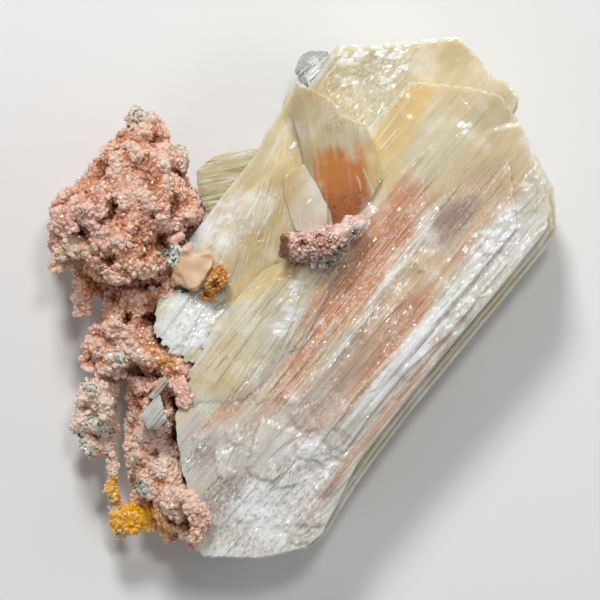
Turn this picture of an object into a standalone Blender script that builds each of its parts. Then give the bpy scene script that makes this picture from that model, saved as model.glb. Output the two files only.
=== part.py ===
"""Stilbite cluster on a branching drusy matrix, lying on its flat cut back.

All dimensions are in millimetres until a mesh is written, when they become metres.
X runs to the right of the specimen's face, Y up its face and Z out of the face.
"""
import math
import random

import bmesh
import bpy
import numpy as np
from mathutils import Vector

MM = 0.001
GAP = 0.3               # clearance between pieces that touch
FACE_HEIGHT = 16.6      # the sheaf's broad face above the cut back
GROWTH_ANGLE = 50.0     # the blades' long axis, in degrees from +X
VOXEL = 0.42            # grain of the lumpy matrix
FORK_Y_UPPER = 1.5      # where the crown parts from the neck
FORK_Y_LOWER = -10.2    # where the neck parts into arm and body
FORK_X = -22.6          # between the arm and the body

AXIS = Vector((math.cos(math.radians(GROWTH_ANGLE)), math.sin(math.radians(GROWTH_ANGLE))))
ACROSS = Vector((-AXIS.y, AXIS.x))

# Outlines seen from the front
MAIN = [(16.8, 25.7), (27.9, 23.5), (30.1, 19.3), (32.8, 14.5), (33.3, 8.6), (31.2, 5.6),
        (26.3, -0.3), (18.1, -9.9), (12.7, -16.8), (8.0, -23.1), (3.3, -30.7), (1.0, -32.4),
        (-5.0, -33.7), (-12.4, -33.5), (-13.6, -32.2), (-13.1, -26.3), (-14.4, -17.2),
        (-9.2, -4.2), (3.8, 12.7)]
BACK = [(17.5, 22.5), (26.0, 21.0), (29.8, 13.5), (30.3, 9.0), (24.0, 0.5), (15.8, -9.0),
        (6.0, -22.5), (0.6, -29.4), (-4.5, -31.0), (-10.6, -30.6), (-11.0, -24.5),
        (-11.6, -17.5), (-6.5, -5.0), (5.0, 12.0)]
FACE = [(14.2, 27.6), (22.0, 26.7), (25.5, 25.8), (27.5, 23.3), (29.6, 17.9), (31.9, 12.0),
        (31.5, 8.8), (24.6, 0.2), (16.2, -9.7), (7.7, -20.1), (2.3, -29.2), (-0.6, -31.7),
        (-5.0, -32.3), (-11.2, -31.5), (-13.6, -27.0), (-15.1, -21.4), (-15.9, -15.0),
        (-11.1, -6.2), (3.8, 14.0), (8.6, 21.4)]
PLATEAU = [(18.1, 18.9), (22.0, 20.0), (25.9, 19.6), (26.7, 17.5), (27.8, 9.0), (24.1, 4.6),
           (16.8, -4.2), (10.3, -11.4), (5.8, -14.0), (5.1, -10.7), (12.3, -0.3), (16.2, 10.1)]
RIDGE = [(18.8, -0.3), (20.2, -1.1), (18.1, -4.9), (12.9, -11.0), (8.0, -15.7), (5.7, -16.6),
         (5.4, -14.9), (9.3, -9.7), (15.5, -2.7)]
UPPER = [(4.0, 31.4), (4.9, 32.6), (11.9, 32.8), (20.6, 33.7), (23.3, 31.0), (25.0, 28.7),
         (26.7, 28.0), (28.4, 25.9), (28.3, 24.2), (22.0, 15.3), (7.7, -0.3), (-4.0, 2.3),
         (-5.0, 16.6), (-0.1, 25.7)]
UPPER_FACE = [(6.9, 31.2), (12.2, 31.6), (20.0, 32.2), (22.2, 30.2), (24.1, 27.7), (26.1, 26.8),
              (22.0, 14.0), (8.5, 2.0), (0.5, 12.0), (2.3, 24.8)]
AMBER = [(-0.3, 27.1), (4.1, 24.9), (5.3, 23.1), (8.3, 21.8), (9.6, 19.3), (10.6, 15.3),
         (9.3, 12.7), (6.4, 9.4), (2.8, 8.6), (0.2, 14.0), (-1.4, 24.5)]
LEFT_FAN = [(-1.1, 26.8), (-2.1, 23.9), (-4.4, 20.7), (-5.0, 18.9), (-11.0, 11.4), (-14.1, 7.2),
            (-13.6, 4.6), (-11.1, -0.6), (-7.9, -0.8), (-1.9, 3.4), (4.6, 7.4), (4.0, 11.1),
            (2.2, 16.0), (1.4, 24.0)]
LEFT_FAN_MIDDLE = [(-1.2, 25.9), (-3.6, 20.6), (-9.1, 12.3), (-11.6, 7.4), (-8.9, 2.2),
                   (-2.2, 4.9), (2.8, 8.4), (1.2, 15.6), (0.1, 24.4)]
LEFT_FAN_CREST = [(-0.9, 25.0), (-1.7, 19.4), (-4.6, 11.4), (-4.9, 7.1), (-1.6, 6.1),
                  (2.1, 9.2), (0.9, 15.2), (0.4, 22.8)]
MIDDLE_FAN = [(-2.9, 5.4), (1.7, 4.6), (1.6, -1.0), (-3.6, -11.0), (-11.1, -15.7),
              (-15.4, -13.6), (-16.1, -11.4), (-11.1, -3.4)]
MIDDLE_FAN_CREST = [(-2.4, 3.4), (0.1, 1.9), (-0.4, -2.6), (-6.2, -10.9), (-11.8, -13.3),
                    (-13.3, -11.2), (-8.4, -3.6)]
WHITE_FLANK = [(-18.7, -2.7), (-17.9, -0.3), (-15.7, 1.2), (-9.2, 1.6), (-8.2, -4.6),
               (-12.6, -9.4), (-16.7, -7.1), (-18.5, -5.5)]
SIDE_BLADE = [(-13.3, 14.9), (-13.1, 16.3), (-11.1, 18.1), (-8.6, 18.7), (-5.0, 19.2),
              (-3.2, 18.6), (-6.4, 12.7), (-10.4, 9.6), (-12.2, 10.9), (-12.8, 13.2)]
GLASSY_TIP = [(-0.8, 28.9), (0.2, 31.0), (1.5, 31.8), (3.6, 31.7), (5.2, 31.0), (3.3, 27.6),
              (1.3, 26.0)]
SMALL_PRISM = [(-20.1, -15.0), (-17.7, -12.4), (-16.7, -15.4), (-17.9, -16.7), (-19.2, -16.7)]
THIN_BLADE = [(-19.2, -12.6), (-17.1, -9.9), (-16.5, -10.6), (-18.3, -13.1)]
CROWN = [(-21.8, 24.0), (-19.6, 24.4), (-17.9, 22.6), (-15.4, 20.5), (-14.4, 16.8),
         (-12.6, 11.9), (-12.7, 9.6), (-15.7, 6.7), (-15.2, 3.6), (-16.7, 0.6), (-25.0, -0.4),
         (-27.9, 4.4), (-32.6, 3.0), (-32.2, 10.7), (-31.0, 14.2), (-26.6, 16.1), (-24.5, 20.2)]
NECK = [(-24.6, 2.6), (-16.7, 2.4), (-17.6, -0.6), (-18.5, -2.9), (-18.1, -5.8), (-16.0, -7.3),
        (-15.6, -9.4), (-16.2, -11.6), (-26.2, -11.4), (-26.9, -6.2), (-25.6, -1.5)]
LEFT_ARM = [(-27.6, -8.8), (-22.9, -8.9), (-22.6, -14.9), (-23.7, -17.6), (-26.4, -20.0),
            (-28.7, -19.2), (-29.6, -16.2), (-28.6, -13.6)]
BODY = [(-22.2, -9.0), (-16.2, -9.0), (-14.9, -12.7), (-15.4, -20.5), (-14.0, -23.6),
        (-11.8, -27.4), (-11.4, -31.2), (-16.2, -30.6), (-18.8, -28.6), (-21.1, -24.8),
        (-21.8, -19.8), (-21.5, -14.9)]

# Rounded shell-like ledges on the lower face: lower end, length, width, height, slope
LEDGES = [(-8.6, -28.8, 17.0, 9.5, 15.9, 0.030), (-1.6, -29.6, 22.0, 6.5, 16.0, 0.022),
          (-12.4, -22.6, 15.0, 6.5, 16.3, 0.034), (-8.4, -23.6, 20.0, 5.6, 16.7, 0.030),
          (-3.6, -23.2, 24.0, 5.2, 16.9, 0.026), (2.6, -22.6, 24.0, 4.6, 16.8, 0.024),
          (-13.0, -17.2, 12.0, 4.6, 17.0, 0.040), (-7.0, -16.6, 17.0, 5.0, 17.3, 0.036),
          (0.4, -15.6, 22.0, 4.6, 17.4, 0.026), (-2.8, -9.8, 17.0, 3.6, 17.8, 0.030)]

# Long narrow striation ribs: lower end, length, width, height above the back
RIBS = [(21.2, 2.4, 13.5, 1.5, 18.2), (17.0, 0.8, 17.0, 1.3, 18.0), (12.6, 1.4, 16.0, 1.9, 17.6),
        (8.6, 2.0, 19.0, 1.8, 17.4), (4.6, -4.6, 20.0, 2.0, 17.5), (20.0, -3.6, 12.0, 1.4, 17.0),
        (13.4, -11.2, 14.0, 1.6, 16.9), (8.8, -16.8, 13.0, 1.5, 16.6),
        (5.0, -21.6, 12.0, 1.7, 16.4), (0.2, -5.6, 11.0, 1.4, 17.9),
        (-9.8, -11.4, 14.0, 1.3, 18.3), (-6.8, -9.6, 11.0, 1.2, 18.6),
        (-12.2, -12.0, 10.0, 1.1, 17.8), (10.9, 14.6, 12.0, 1.8, 17.3),
        (6.9, 22.8, 9.0, 1.4, 13.7), (12.0, 24.6, 9.0, 1.7, 13.5),
        (-10.0, 6.8, 10.0, 1.3, 19.3), (-6.0, 8.2, 12.0, 1.4, 21.0)]


def signed_area(points):
    """Area of an outline, positive when it runs anticlockwise."""
    following = points[1:] + points[:1]
    return sum(p.x * q.y - q.x * p.y for p, q in zip(points, following)) / 2


def offset(outline, distance):
    """An anticlockwise copy of an outline, moved outward by a distance, with mitred corners."""
    points = [Vector(point) for point in outline]
    if signed_area(points) < 0:
        points.reverse()
    moved = []
    for before, point, after in zip(points[-1:] + points[:-1], points, points[1:] + points[:1]):
        arriving = (point - before).normalized()
        leaving = (after - point).normalized()
        normal_in = Vector((arriving.y, -arriving.x))
        normal_out = Vector((leaving.y, -leaving.x))
        mitre = (normal_in + normal_out) / max(1 + normal_in.dot(normal_out), 0.6)
        moved.append(point + mitre * distance)
    return moved


def add_object(name, bm):
    """Turn a bmesh in millimetres into an object in metres."""
    bmesh.ops.scale(bm, vec=(MM, MM, MM), verts=bm.verts)
    mesh = bpy.data.meshes.new(name)
    bm.to_mesh(mesh)
    bm.free()
    obj = bpy.data.objects.new(name, mesh)
    bpy.context.scene.collection.objects.link(obj)
    return obj


def plate(outline, low, high, chamfer=0.35, flare=0.0, slope=(0, 0), under=(0, 0), grow=0.0):
    """A blade: an outline raised from low to high, with a chamfered upper rim.

    Slope tilts its upper face about the outline's middle and under tilts its lower face,
    both as rise per millimetre along X and Y. Flare draws the lower rim in.
    """
    middle = sum((Vector(point) for point in outline), Vector((0, 0))) / len(outline)
    rings = [(offset(outline, grow - flare), low - grow, under),
             (offset(outline, grow), high + grow - chamfer * 1.4, slope),
             (offset(outline, grow - chamfer), high + grow, slope)]
    bm = bmesh.new()
    rows = []
    for points, height, tilt in rings:
        heights = [height + (point - middle).dot(Vector(tilt)) for point in points]
        rows.append([bm.verts.new((point.x, point.y, z)) for point, z in zip(points, heights)])
    count = len(outline)
    for lower, upper in zip(rows, rows[1:]):
        for i in range(count):
            j = (i + 1) % count
            bm.faces.new((lower[i], lower[j], upper[j], upper[i]))
    bm.faces.new(list(reversed(rows[0])))
    bm.faces.new(rows[-1])
    return add_object("plate", bm)


def ledge_outline(x, y, length, width):
    """A tongue along the growth axis, rounded at its lower end and blunt at its upper end."""
    end = Vector((x, y))
    points = []
    for step in range(7):
        angle = math.pi * (step / 6 - 0.5)
        setback = AXIS * (width * 0.45 * (1 - math.cos(angle)))
        points.append(end + setback - ACROSS * (width / 2 * math.sin(angle)))
    points.append(end + AXIS * length + ACROSS * (-width * 0.30))
    points.append(end + AXIS * length * 1.04 + ACROSS * (width * 0.22))
    return points


def rib_outline(x, y, length, width):
    """A long narrow parallelogram with pointed ends along the growth axis."""
    end = Vector((x, y))
    side = ACROSS * (width / 2)
    return [end, end + AXIS * (width * 1.6) - side, end + AXIS * (length - width) - side,
            end + AXIS * length, end + AXIS * (length - width * 2) + side, end + AXIS * width + side]


def sheaf_plates(grow=0.0):
    """All blades of the intergrown sheaf, each as its own closed solid."""
    level = FACE_HEIGHT
    plates = [
        plate(BACK, 0.0, 5.2, 0.5, 0.6, (0.006, 0.0), grow=grow),
        plate(MAIN, 3.9, 9.4, 0.5, 1.0, (0.004, 0.010), (0.0, -0.012), grow=grow),
        plate(offset(MAIN, -0.75), 8.3, 12.1, 0.4, 0.0, (0.006, 0.012), grow=grow),
        plate(offset(MAIN, -1.5), 11.2, 14.3, 0.4, 0.0, (0.002, 0.016), grow=grow),
        plate(FACE, 13.1, level - 0.6, 0.5, 0.3, (0.012, 0.024), grow=grow),
        plate(PLATEAU, 14.8, level + 1.0, 0.5, 0.0, (0.006, 0.018), grow=grow),
        plate(RIDGE, 14.2, level + 1.1, 0.5, 0.0, (-0.020, 0.012), grow=grow),
        plate(UPPER, 2.6, 8.1, 0.5, 1.2, (0.010, 0.014), (0.0, 0.030), grow=grow),
        plate(offset(UPPER, -0.8), 7.1, 11.6, 0.5, 0.0, (0.018, 0.020), grow=grow),
        plate(UPPER_FACE, 10.2, 13.3, 0.4, 0.0, (0.012, 0.034), grow=grow),
        plate(AMBER, 13.3, 20.0, 0.5, 0.5, (-0.120, 0.330), (-0.060, 0.200), grow=grow),
        plate(LEFT_FAN, 4.4, 16.4, 0.5, 1.4, (0.070, 0.110), (0.0, 0.060), grow=grow),
        plate(LEFT_FAN_MIDDLE, 11.9, 17.7, 0.5, 0.0, (0.080, 0.150), grow=grow),
        plate(LEFT_FAN_CREST, 12.7, 18.7, 0.4, 0.0, (0.110, 0.160), grow=grow),
        plate(MIDDLE_FAN, 11.3, 16.9, 0.5, 0.0, (0.020, 0.060), grow=grow),
        plate(MIDDLE_FAN_CREST, 12.4, 17.7, 0.4, 0.0, (0.030, 0.070), grow=grow),
        plate(WHITE_FLANK, 3.2, 14.9, 0.5, 0.9, (0.060, 0.020), grow=grow),
    ]
    for x, y, length, width, height, rise in LEDGES:
        outline = ledge_outline(x, y, length, width)
        plates.append(plate(outline, height - 3.0, height, 0.4, 0.0, AXIS * -rise, grow=grow))
    for x, y, length, width, height in RIBS:
        outline = rib_outline(x, y, length, width)
        plates.append(plate(outline, height - 3.4, height, 0.25, 0.0, AXIS * 0.004, grow=grow))
    return plates


def freeze(obj):
    """Replace an object's mesh by its evaluated mesh and drop its modifiers."""
    depsgraph = bpy.context.evaluated_depsgraph_get()
    mesh = bpy.data.meshes.new_from_object(obj.evaluated_get(depsgraph), depsgraph=depsgraph)
    obj.modifiers.clear()
    obj.data = mesh
    return obj


def join_solids(solids, operation="UNION", base=None):
    """Boolean a list of solids into a base solid, or into the first of them."""
    if base is None:
        base = solids[0]
        solids = solids[1:]
    group = bpy.data.collections.new("operands")
    for solid in solids:
        group.objects.link(solid)
    boolean = base.modifiers.new("boolean", "BOOLEAN")
    boolean.operation = operation
    boolean.operand_type = "COLLECTION"
    boolean.collection = group
    freeze(base)
    bpy.data.collections.remove(group)
    return base


def discard(objects):
    """Remove helper solids."""
    for obj in objects:
        bpy.data.objects.remove(obj)


def tidy_mesh(obj, flat_angle=0.5):
    """Keep the largest closed island, merge stray doubles and dissolve edges inside flat faces."""
    bm = bmesh.new()
    bm.from_mesh(obj.data)
    bmesh.ops.remove_doubles(bm, verts=bm.verts, dist=0.004 * MM)
    unseen = set(bm.verts)
    largest = []
    while unseen:
        frontier = [unseen.pop()]
        island = list(frontier)
        while frontier:
            vertex = frontier.pop()
            for edge in vertex.link_edges:
                other = edge.other_vert(vertex)
                if other in unseen:
                    unseen.remove(other)
                    frontier.append(other)
                    island.append(other)
        if len(island) > len(largest):
            largest = island
    keep = set(largest)
    bmesh.ops.delete(bm, geom=[v for v in bm.verts if v not in keep], context="VERTS")
    if flat_angle:
        bmesh.ops.dissolve_limit(bm, angle_limit=math.radians(flat_angle), verts=bm.verts, edges=bm.edges)
    bmesh.ops.triangulate(bm, faces=bm.faces)
    bm.to_mesh(obj.data)
    bm.free()
    return obj


def spheres(name, balls, voxel=VOXEL):
    """Fuse a list of balls, each (x, y, z, radius), into one lumpy skin."""
    bm = bmesh.new()
    bmesh.ops.create_icosphere(bm, subdivisions=2, radius=1)
    corners = np.array([vertex.co for vertex in bm.verts])
    faces = np.array([[vertex.index for vertex in face.verts] for face in bm.faces])
    bm.free()
    balls = np.array(balls)
    points = balls[:, None, :3] + corners[None] * balls[:, None, 3:]
    loops = faces[None] + (np.arange(len(balls)) * len(corners))[:, None, None]
    mesh = bpy.data.meshes.new(name)
    mesh.from_pydata((points.reshape(-1, 3) * MM).tolist(), [], loops.reshape(-1, 3).tolist())
    obj = bpy.data.objects.new(name, mesh)
    bpy.context.scene.collection.objects.link(obj)
    remesh = obj.modifiers.new("fuse", "REMESH")
    remesh.mode = "VOXEL"
    remesh.voxel_size = voxel * MM
    return tidy_mesh(freeze(obj), 0)


def thin(obj, triangles):
    """Reduce an object to about a number of triangles."""
    decimate = obj.modifiers.new("thin", "DECIMATE")
    decimate.ratio = min(1.0, triangles / len(obj.data.polygons))
    return tidy_mesh(freeze(obj), 0)


def edge_distance(point, outline):
    """Distance from a point inside an outline to its nearest edge, negative outside."""
    inside = False
    nearest = math.inf
    for p, q in zip(outline, outline[1:] + outline[:1]):
        edge = q - p
        along = max(0.0, min(1.0, (point - p).dot(edge) / edge.length_squared))
        nearest = min(nearest, (point - p - edge * along).length)
        if (p.y > point.y) != (q.y > point.y):
            if point.x < p.x + edge.x * (point.y - p.y) / edge.y:
                inside = not inside
    return nearest if inside else -nearest


def mass(outline, low, middle, crest, dome, step, radii, seed):
    """Balls stacked through a mass whose depth swells from its outline inward like a dome."""
    chance = random.Random(seed)
    border = [Vector(point) for point in outline]
    xs = [point.x for point in border]
    ys = [point.y for point in border]
    balls = []
    for row in range(math.ceil((max(ys) - min(ys)) / step) + 1):
        for column in range(math.ceil((max(xs) - min(xs)) / step) + 1):
            point = Vector((min(xs) + (column + 0.5 * (row % 2)) * step, min(ys) + row * step))
            point += Vector((chance.uniform(-0.4, 0.4), chance.uniform(-0.4, 0.4))) * step
            radius = chance.uniform(*radii)
            depth = edge_distance(point, border) - radius * 0.75
            if depth < -0.25:
                continue
            swell = math.sqrt(1 - (1 - min(1, max(depth, 0) / dome)) ** 2)
            top = middle + (crest - middle) * swell - radius * 0.5 + chance.uniform(-0.9, 0.9)
            bottom = middle - (middle - low) * swell
            layers = max(1, math.ceil((top - bottom) / (radius * 1.15)))
            for layer in range(layers + 1):
                sway = Vector((chance.uniform(-0.3, 0.3), chance.uniform(-0.3, 0.3))) * radius
                height = bottom + (top - bottom) * layer / layers
                balls.append((point.x + sway.x, point.y + sway.y, height, radius))
    return balls


def stalk(route, radius, seed, wobble=0.35):
    """Balls strung along a route of points (x, y, z), with a knobbly outline."""
    chance = random.Random(seed)
    balls = []
    for start, end in zip(route, route[1:]):
        start = Vector(start)
        end = Vector(end)
        count = max(1, math.ceil((end - start).length / (radius * 0.7)))
        for step in range(count):
            place = start.lerp(end, step / count)
            place += Vector(chance.uniform(-wobble, wobble) * radius for _ in range(3))
            balls.append((*place, radius * chance.uniform(0.72, 1.12)))
    balls.append((*route[-1], radius * 0.8))
    return balls


def block(low, high):
    """A cutting block between two corners."""
    bm = bmesh.new()
    made = bmesh.ops.create_cube(bm, size=1)
    low = Vector(low)
    high = Vector(high)
    bmesh.ops.scale(bm, vec=high - low, verts=made["verts"])
    bmesh.ops.translate(bm, vec=(low + high) / 2, verts=made["verts"])
    return add_object("block", bm)


def swollen(balls):
    """The same balls with the clearance added to their radius."""
    return [(x, y, z, radius + GAP) for x, y, z, radius in balls]


def finish(obj, name, colour, roughness, metallic=0.0):
    """Name a piece, give it its material and shade its facets flat."""
    obj.name = name
    obj.data.name = name
    material = bpy.data.materials.new(name)
    material.use_nodes = True
    shader = material.node_tree.nodes["Principled BSDF"]
    shader.inputs["Base Color"].default_value = (*colour, 1)
    shader.inputs["Roughness"].default_value = roughness
    shader.inputs["Metallic"].default_value = metallic
    obj.data.materials.clear()
    obj.data.materials.append(material)
    return obj


def cut(obj, cutters, triangles):
    """Thin a lumpy piece, cut it to its neighbours and the floor, and keep its one body."""
    thin(obj, triangles)
    join_solids(cutters, "DIFFERENCE", obj)
    return tidy_mesh(obj)


def build_crystals():
    """The sheaf and the clear crystals beside it. Returns the pieces and their clearance solids."""
    plates = sheaf_plates()
    sheaf = tidy_mesh(join_solids(plates))
    discard(plates[1:])
    finish(sheaf, "stilbite_sheaf", (0.80, 0.72, 0.60), 0.35)
    plates = sheaf_plates(GAP)
    sheaf_clearance = tidy_mesh(join_solids(plates))
    discard(plates[1:])

    side_values = dict(outline=SIDE_BLADE, low=7.0, high=12.4, chamfer=0.7, flare=1.0, slope=(0.03, 0.10))
    side = plate(**side_values)
    tidy_mesh(join_solids([sheaf_clearance], "DIFFERENCE", side))
    finish(side, "side_blade", (0.66, 0.68, 0.58), 0.12)
    tip_values = dict(outline=GLASSY_TIP, low=5.6, high=10.4, chamfer=0.8, flare=0.9, slope=(-0.10, -0.05))
    tip = plate(**tip_values)
    tidy_mesh(join_solids([sheaf_clearance], "DIFFERENCE", tip))
    finish(tip, "glassy_tip", (0.74, 0.78, 0.78), 0.08)
    prism_values = dict(outline=SMALL_PRISM, low=12.2, high=17.6, chamfer=0.5, flare=0.3, slope=(0.25, 0.22))
    prism = finish(tidy_mesh(plate(**prism_values)), "small_prism", (0.72, 0.70, 0.66), 0.12)
    thin_values = dict(outline=THIN_BLADE, low=11.4, high=16.2, chamfer=0.2, flare=0.1, slope=(0.10, 0.20))
    thin_blade = finish(tidy_mesh(plate(**thin_values)), "thin_blade", (0.62, 0.58, 0.52), 0.16)
    clearances = dict(sheaf=sheaf_clearance, side=plate(**side_values, grow=GAP),
                      prism=plate(**prism_values, grow=GAP), thin=plate(**thin_values, grow=GAP))
    return clearances


def build_druses(clearances):
    """The knob, the pale scale and the ochre druse that grew on the sheaf's face."""
    knob_balls = stalk([(-0.6, 6.4, 19.0), (2.8, 6.1, 19.9), (4.8, 7.2, 19.8)], 2.1, 11)
    knob_balls += stalk([(4.8, 7.8, 19.8), (6.6, 8.8, 19.6), (8.0, 9.5, 19.0)], 1.35, 13)
    knob_balls += stalk([(1.4, 7.0, 21.0), (4.2, 7.8, 21.2)], 1.3, 12)
    knob_balls += [(-1.9, 7.5, 20.2, 0.9), (-0.8, 7.1, 21.2, 0.9), (-1.9, 5.6, 19.8, 0.9),
                   (-0.5, 5.2, 20.6, 0.8)]
    knob = cut(spheres("knob", knob_balls, 0.32), [clearances["sheaf"]], 520)
    finish(knob, "druse_knob", (0.52, 0.33, 0.27), 0.6)

    scale_balls = [(-14.4, 4.2, 16.0, 1.9), (-12.6, 3.9, 16.2, 2.0), (-13.4, 2.4, 16.1, 1.9),
                   (-12.0, 4.4, 16.7, 1.5), (-14.9, 2.9, 16.0, 1.3)]
    scale = cut(spheres("scale", scale_balls, 0.28), [clearances["sheaf"]], 240)
    finish(scale, "pale_scale", (0.78, 0.64, 0.56), 0.4)
    scale_clearance = thin(spheres("scale clearance", swollen(scale_balls), 0.3), 260)

    ochre_balls = [(-10.3, 3.2, 17.2, 1.15), (-9.8, 2.2, 17.3, 1.05), (-11.2, 1.5, 16.8, 1.2),
                   (-12.2, 0.9, 16.2, 1.0), (-10.6, 2.4, 17.6, 1.1), (-11.4, 0.6, 15.8, 1.1)]
    ochre = cut(spheres("ochre", ochre_balls, 0.26), [clearances["sheaf"], scale_clearance], 230)
    finish(ochre, "ochre_druse", (0.66, 0.33, 0.13), 0.6)
    clearances["scale"] = scale_clearance
    clearances["ochre"] = thin(spheres("ochre clearance", swollen(ochre_balls), 0.3), 260)


def build_matrix(clearances):
    """The branching matrix, parted at its main forks by a flat gap."""
    far = 80.0
    half = GAP / 2
    floor = block((-far, -far, -far), (far, far, 0))
    beside = [clearances["sheaf"], floor]

    crown_balls = mass(CROWN, 0.0, 9.0, 20.5, 5.0, 1.9, (1.1, 1.9), 21)
    crown_balls += stalk([(-28.4, 3.6, 9.0), (-27.6, 1.4, 9.4), (-28.0, -1.6, 9.6)], 1.35, 22)
    crown_balls += stalk([(-29.4, 5.2, 14.0), (-31.4, 4.3, 13.6)], 1.3, 23)
    crown_balls += stalk([(-21.0, 22.4, 11.0), (-20.3, 23.6, 11.4)], 1.1, 24)
    below = block((-25.2, -far, -far), (far, FORK_Y_UPPER + half, far))
    cutters = beside + [below, clearances["side"], clearances["scale"], clearances["ochre"]]
    crown = cut(spheres("crown", crown_balls), cutters, 1900)
    finish(crown, "matrix_crown", (0.50, 0.28, 0.22), 0.75)

    neck_balls = mass(NECK, 0.0, 8.0, 16.0, 4.0, 1.8, (1.0, 1.7), 31)
    above = block((-far, FORK_Y_UPPER - half, -far), (far, far, far))
    beyond = block((-far, -3.4, -far), (-24.9, far, far))
    under = block((-far, -far, -far), (far, FORK_Y_LOWER + half, far))
    cutters = beside + [above, beyond, under, clearances["scale"], clearances["ochre"]]
    neck = cut(spheres("neck", neck_balls), cutters, 850)
    finish(neck, "matrix_neck", (0.46, 0.26, 0.20), 0.75)

    arm_balls = mass(LEFT_ARM, 3.0, 8.0, 13.0, 3.2, 1.7, (1.0, 1.6), 41)
    arm_balls += stalk([(-24.4, -17.2, 8.6), (-24.0, -23.6, 7.6), (-23.9, -26.2, 7.4)], 0.95, 42)
    over = block((-far, FORK_Y_LOWER - half, -far), (far, far, far))
    right_of = block((FORK_X - half, -24.5, -far), (far, far, far))
    arm = cut(spheres("arm", arm_balls), [over, right_of, floor], 750)
    finish(arm, "matrix_left_arm", (0.52, 0.32, 0.27), 0.75)

    body_balls = mass(BODY, 0.0, 7.0, 14.6, 3.6, 1.7, (1.0, 1.6), 51)
    front_lumps = [(-15.2, -24.6, 15.0), (-13.4, -26.2, 17.4), (-12.6, -28.4, 17.8), (-13.0, -30.4, 17.0)]
    body_balls += stalk(front_lumps, 1.35, 52)
    yellow_foot = [(-20.2, -25.4, 7.0), (-19.8, -28.2, 6.8), (-21.6, -29.6, 6.6), (-23.0, -30.3, 6.4)]
    body_balls += stalk(yellow_foot, 1.25, 53)
    body_balls += stalk([(-17.4, -29.4, 8.0), (-16.6, -31.2, 8.0)], 1.1, 54)
    body_balls += stalk([(-13.8, -30.6, 12.0), (-14.0, -31.8, 11.0)], 1.0, 55)
    left_of = block((-far, -24.5, -far), (FORK_X + half, far, far))
    cutters = beside + [over, left_of, clearances["prism"], clearances["thin"]]
    body = cut(spheres("body", body_balls), cutters, 1400)
    finish(body, "matrix_body", (0.50, 0.29, 0.22), 0.75)
    discard([floor, below, above, beyond, under, over, right_of, left_of])


def centre_on_base():
    """Move every piece so that the origin is the middle of the base of the whole specimen."""
    corners = [Vector(v.co) for obj in bpy.data.objects for v in obj.data.vertices]
    low = Vector(min(c[i] for c in corners) for i in range(3))
    high = Vector(max(c[i] for c in corners) for i in range(3))
    shift = Vector((-(low.x + high.x) / 2, -(low.y + high.y) / 2, -low.z))
    for obj in bpy.data.objects:
        for vertex in obj.data.vertices:
            vertex.co += shift


def main():
    for obj in list(bpy.data.objects):
        bpy.data.objects.remove(obj)
    clearances = build_crystals()
    build_druses(clearances)
    build_matrix(clearances)
    discard(clearances.values())
    centre_on_base()


main()
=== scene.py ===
import math

import bmesh
import bpy
import numpy as np
from mathutils import Matrix, Vector


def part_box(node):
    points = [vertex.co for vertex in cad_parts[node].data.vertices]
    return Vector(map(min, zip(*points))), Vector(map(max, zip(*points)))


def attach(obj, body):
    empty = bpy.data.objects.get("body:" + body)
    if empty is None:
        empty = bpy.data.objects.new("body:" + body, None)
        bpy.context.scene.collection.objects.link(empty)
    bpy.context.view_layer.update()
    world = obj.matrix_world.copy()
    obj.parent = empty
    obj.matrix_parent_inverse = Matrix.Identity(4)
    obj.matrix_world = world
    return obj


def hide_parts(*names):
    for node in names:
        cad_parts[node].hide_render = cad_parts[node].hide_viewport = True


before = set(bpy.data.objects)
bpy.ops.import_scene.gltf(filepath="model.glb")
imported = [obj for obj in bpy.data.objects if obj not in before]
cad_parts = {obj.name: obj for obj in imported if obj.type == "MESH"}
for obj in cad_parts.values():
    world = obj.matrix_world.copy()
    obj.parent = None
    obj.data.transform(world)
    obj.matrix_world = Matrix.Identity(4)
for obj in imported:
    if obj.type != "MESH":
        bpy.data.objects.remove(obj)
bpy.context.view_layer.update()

mm = 0.001
growth = math.radians(50)      # the blades' long axis, from +X
growthAxis = np.array([math.cos(growth), math.sin(growth)])
acrossAxis = np.array([-math.sin(growth), math.cos(growth)])
farAway = 900.0                # a focus so far off that its rays run parallel

# Outlines below are in the specimen's own millimetres. The small prism's highest
# X and Y there tie them to the frame.
prismCorner = (-16.7, -12.4)
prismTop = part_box("small_prism")[1]
shift = np.array([prismTop.x / mm - prismCorner[0], prismTop.y / mm - prismCorner[1], 0.0])
# The glint light stands 20 degrees off the camera's line; a flake tilted halfway throws it to the camera
glintTilt, glintTurn = math.radians(20), math.radians(69)
glintWay = np.array([math.cos(glintTurn), math.sin(glintTurn)])
glintSlope = glintWay * math.tan(glintTilt / 2)
print("frame loaded, specimen shifted by", shift.round(2).tolist(), "mm")


# Numbers

bitMixer = np.uint64(0x9E3779B97F4A7C15)      # an odd number whose bits are well spread


def cellNumber(seed, *cells):
    # a repeatable number from 0 to 1 for every set of whole-number cells, by mixing their bits
    cells = [np.asarray(cell, np.int64) for cell in cells]
    mixed = np.full(np.broadcast(*cells).shape, seed * 7919 + 17, np.uint64)
    for cell in cells:
        mixed = (mixed ^ cell.astype(np.uint64)) * bitMixer
        mixed = mixed ^ (mixed >> np.uint64(29))
    return (mixed >> np.uint64(11)).astype(float) / 2 ** 53


def softNoise(seed, *coords):
    # value noise from 0 to 1: random numbers on a lattice of whole numbers, blended smoothly
    coords = np.broadcast_arrays(*coords)
    base = [np.floor(c).astype(np.int64) for c in coords]
    blend = [(c - b) ** 2 * (3 - 2 * (c - b)) for c, b in zip(coords, base)]
    total = np.zeros(coords[0].shape)
    for corner in range(2 ** len(coords)):
        sides = [corner >> i & 1 for i in range(len(coords))]
        weight = np.ones(coords[0].shape)
        for side, part in zip(sides, blend):
            weight = weight * (part if side else 1 - part)
        total += weight * cellNumber(seed, *[b + side for b, side in zip(base, sides)])
    return total


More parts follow.
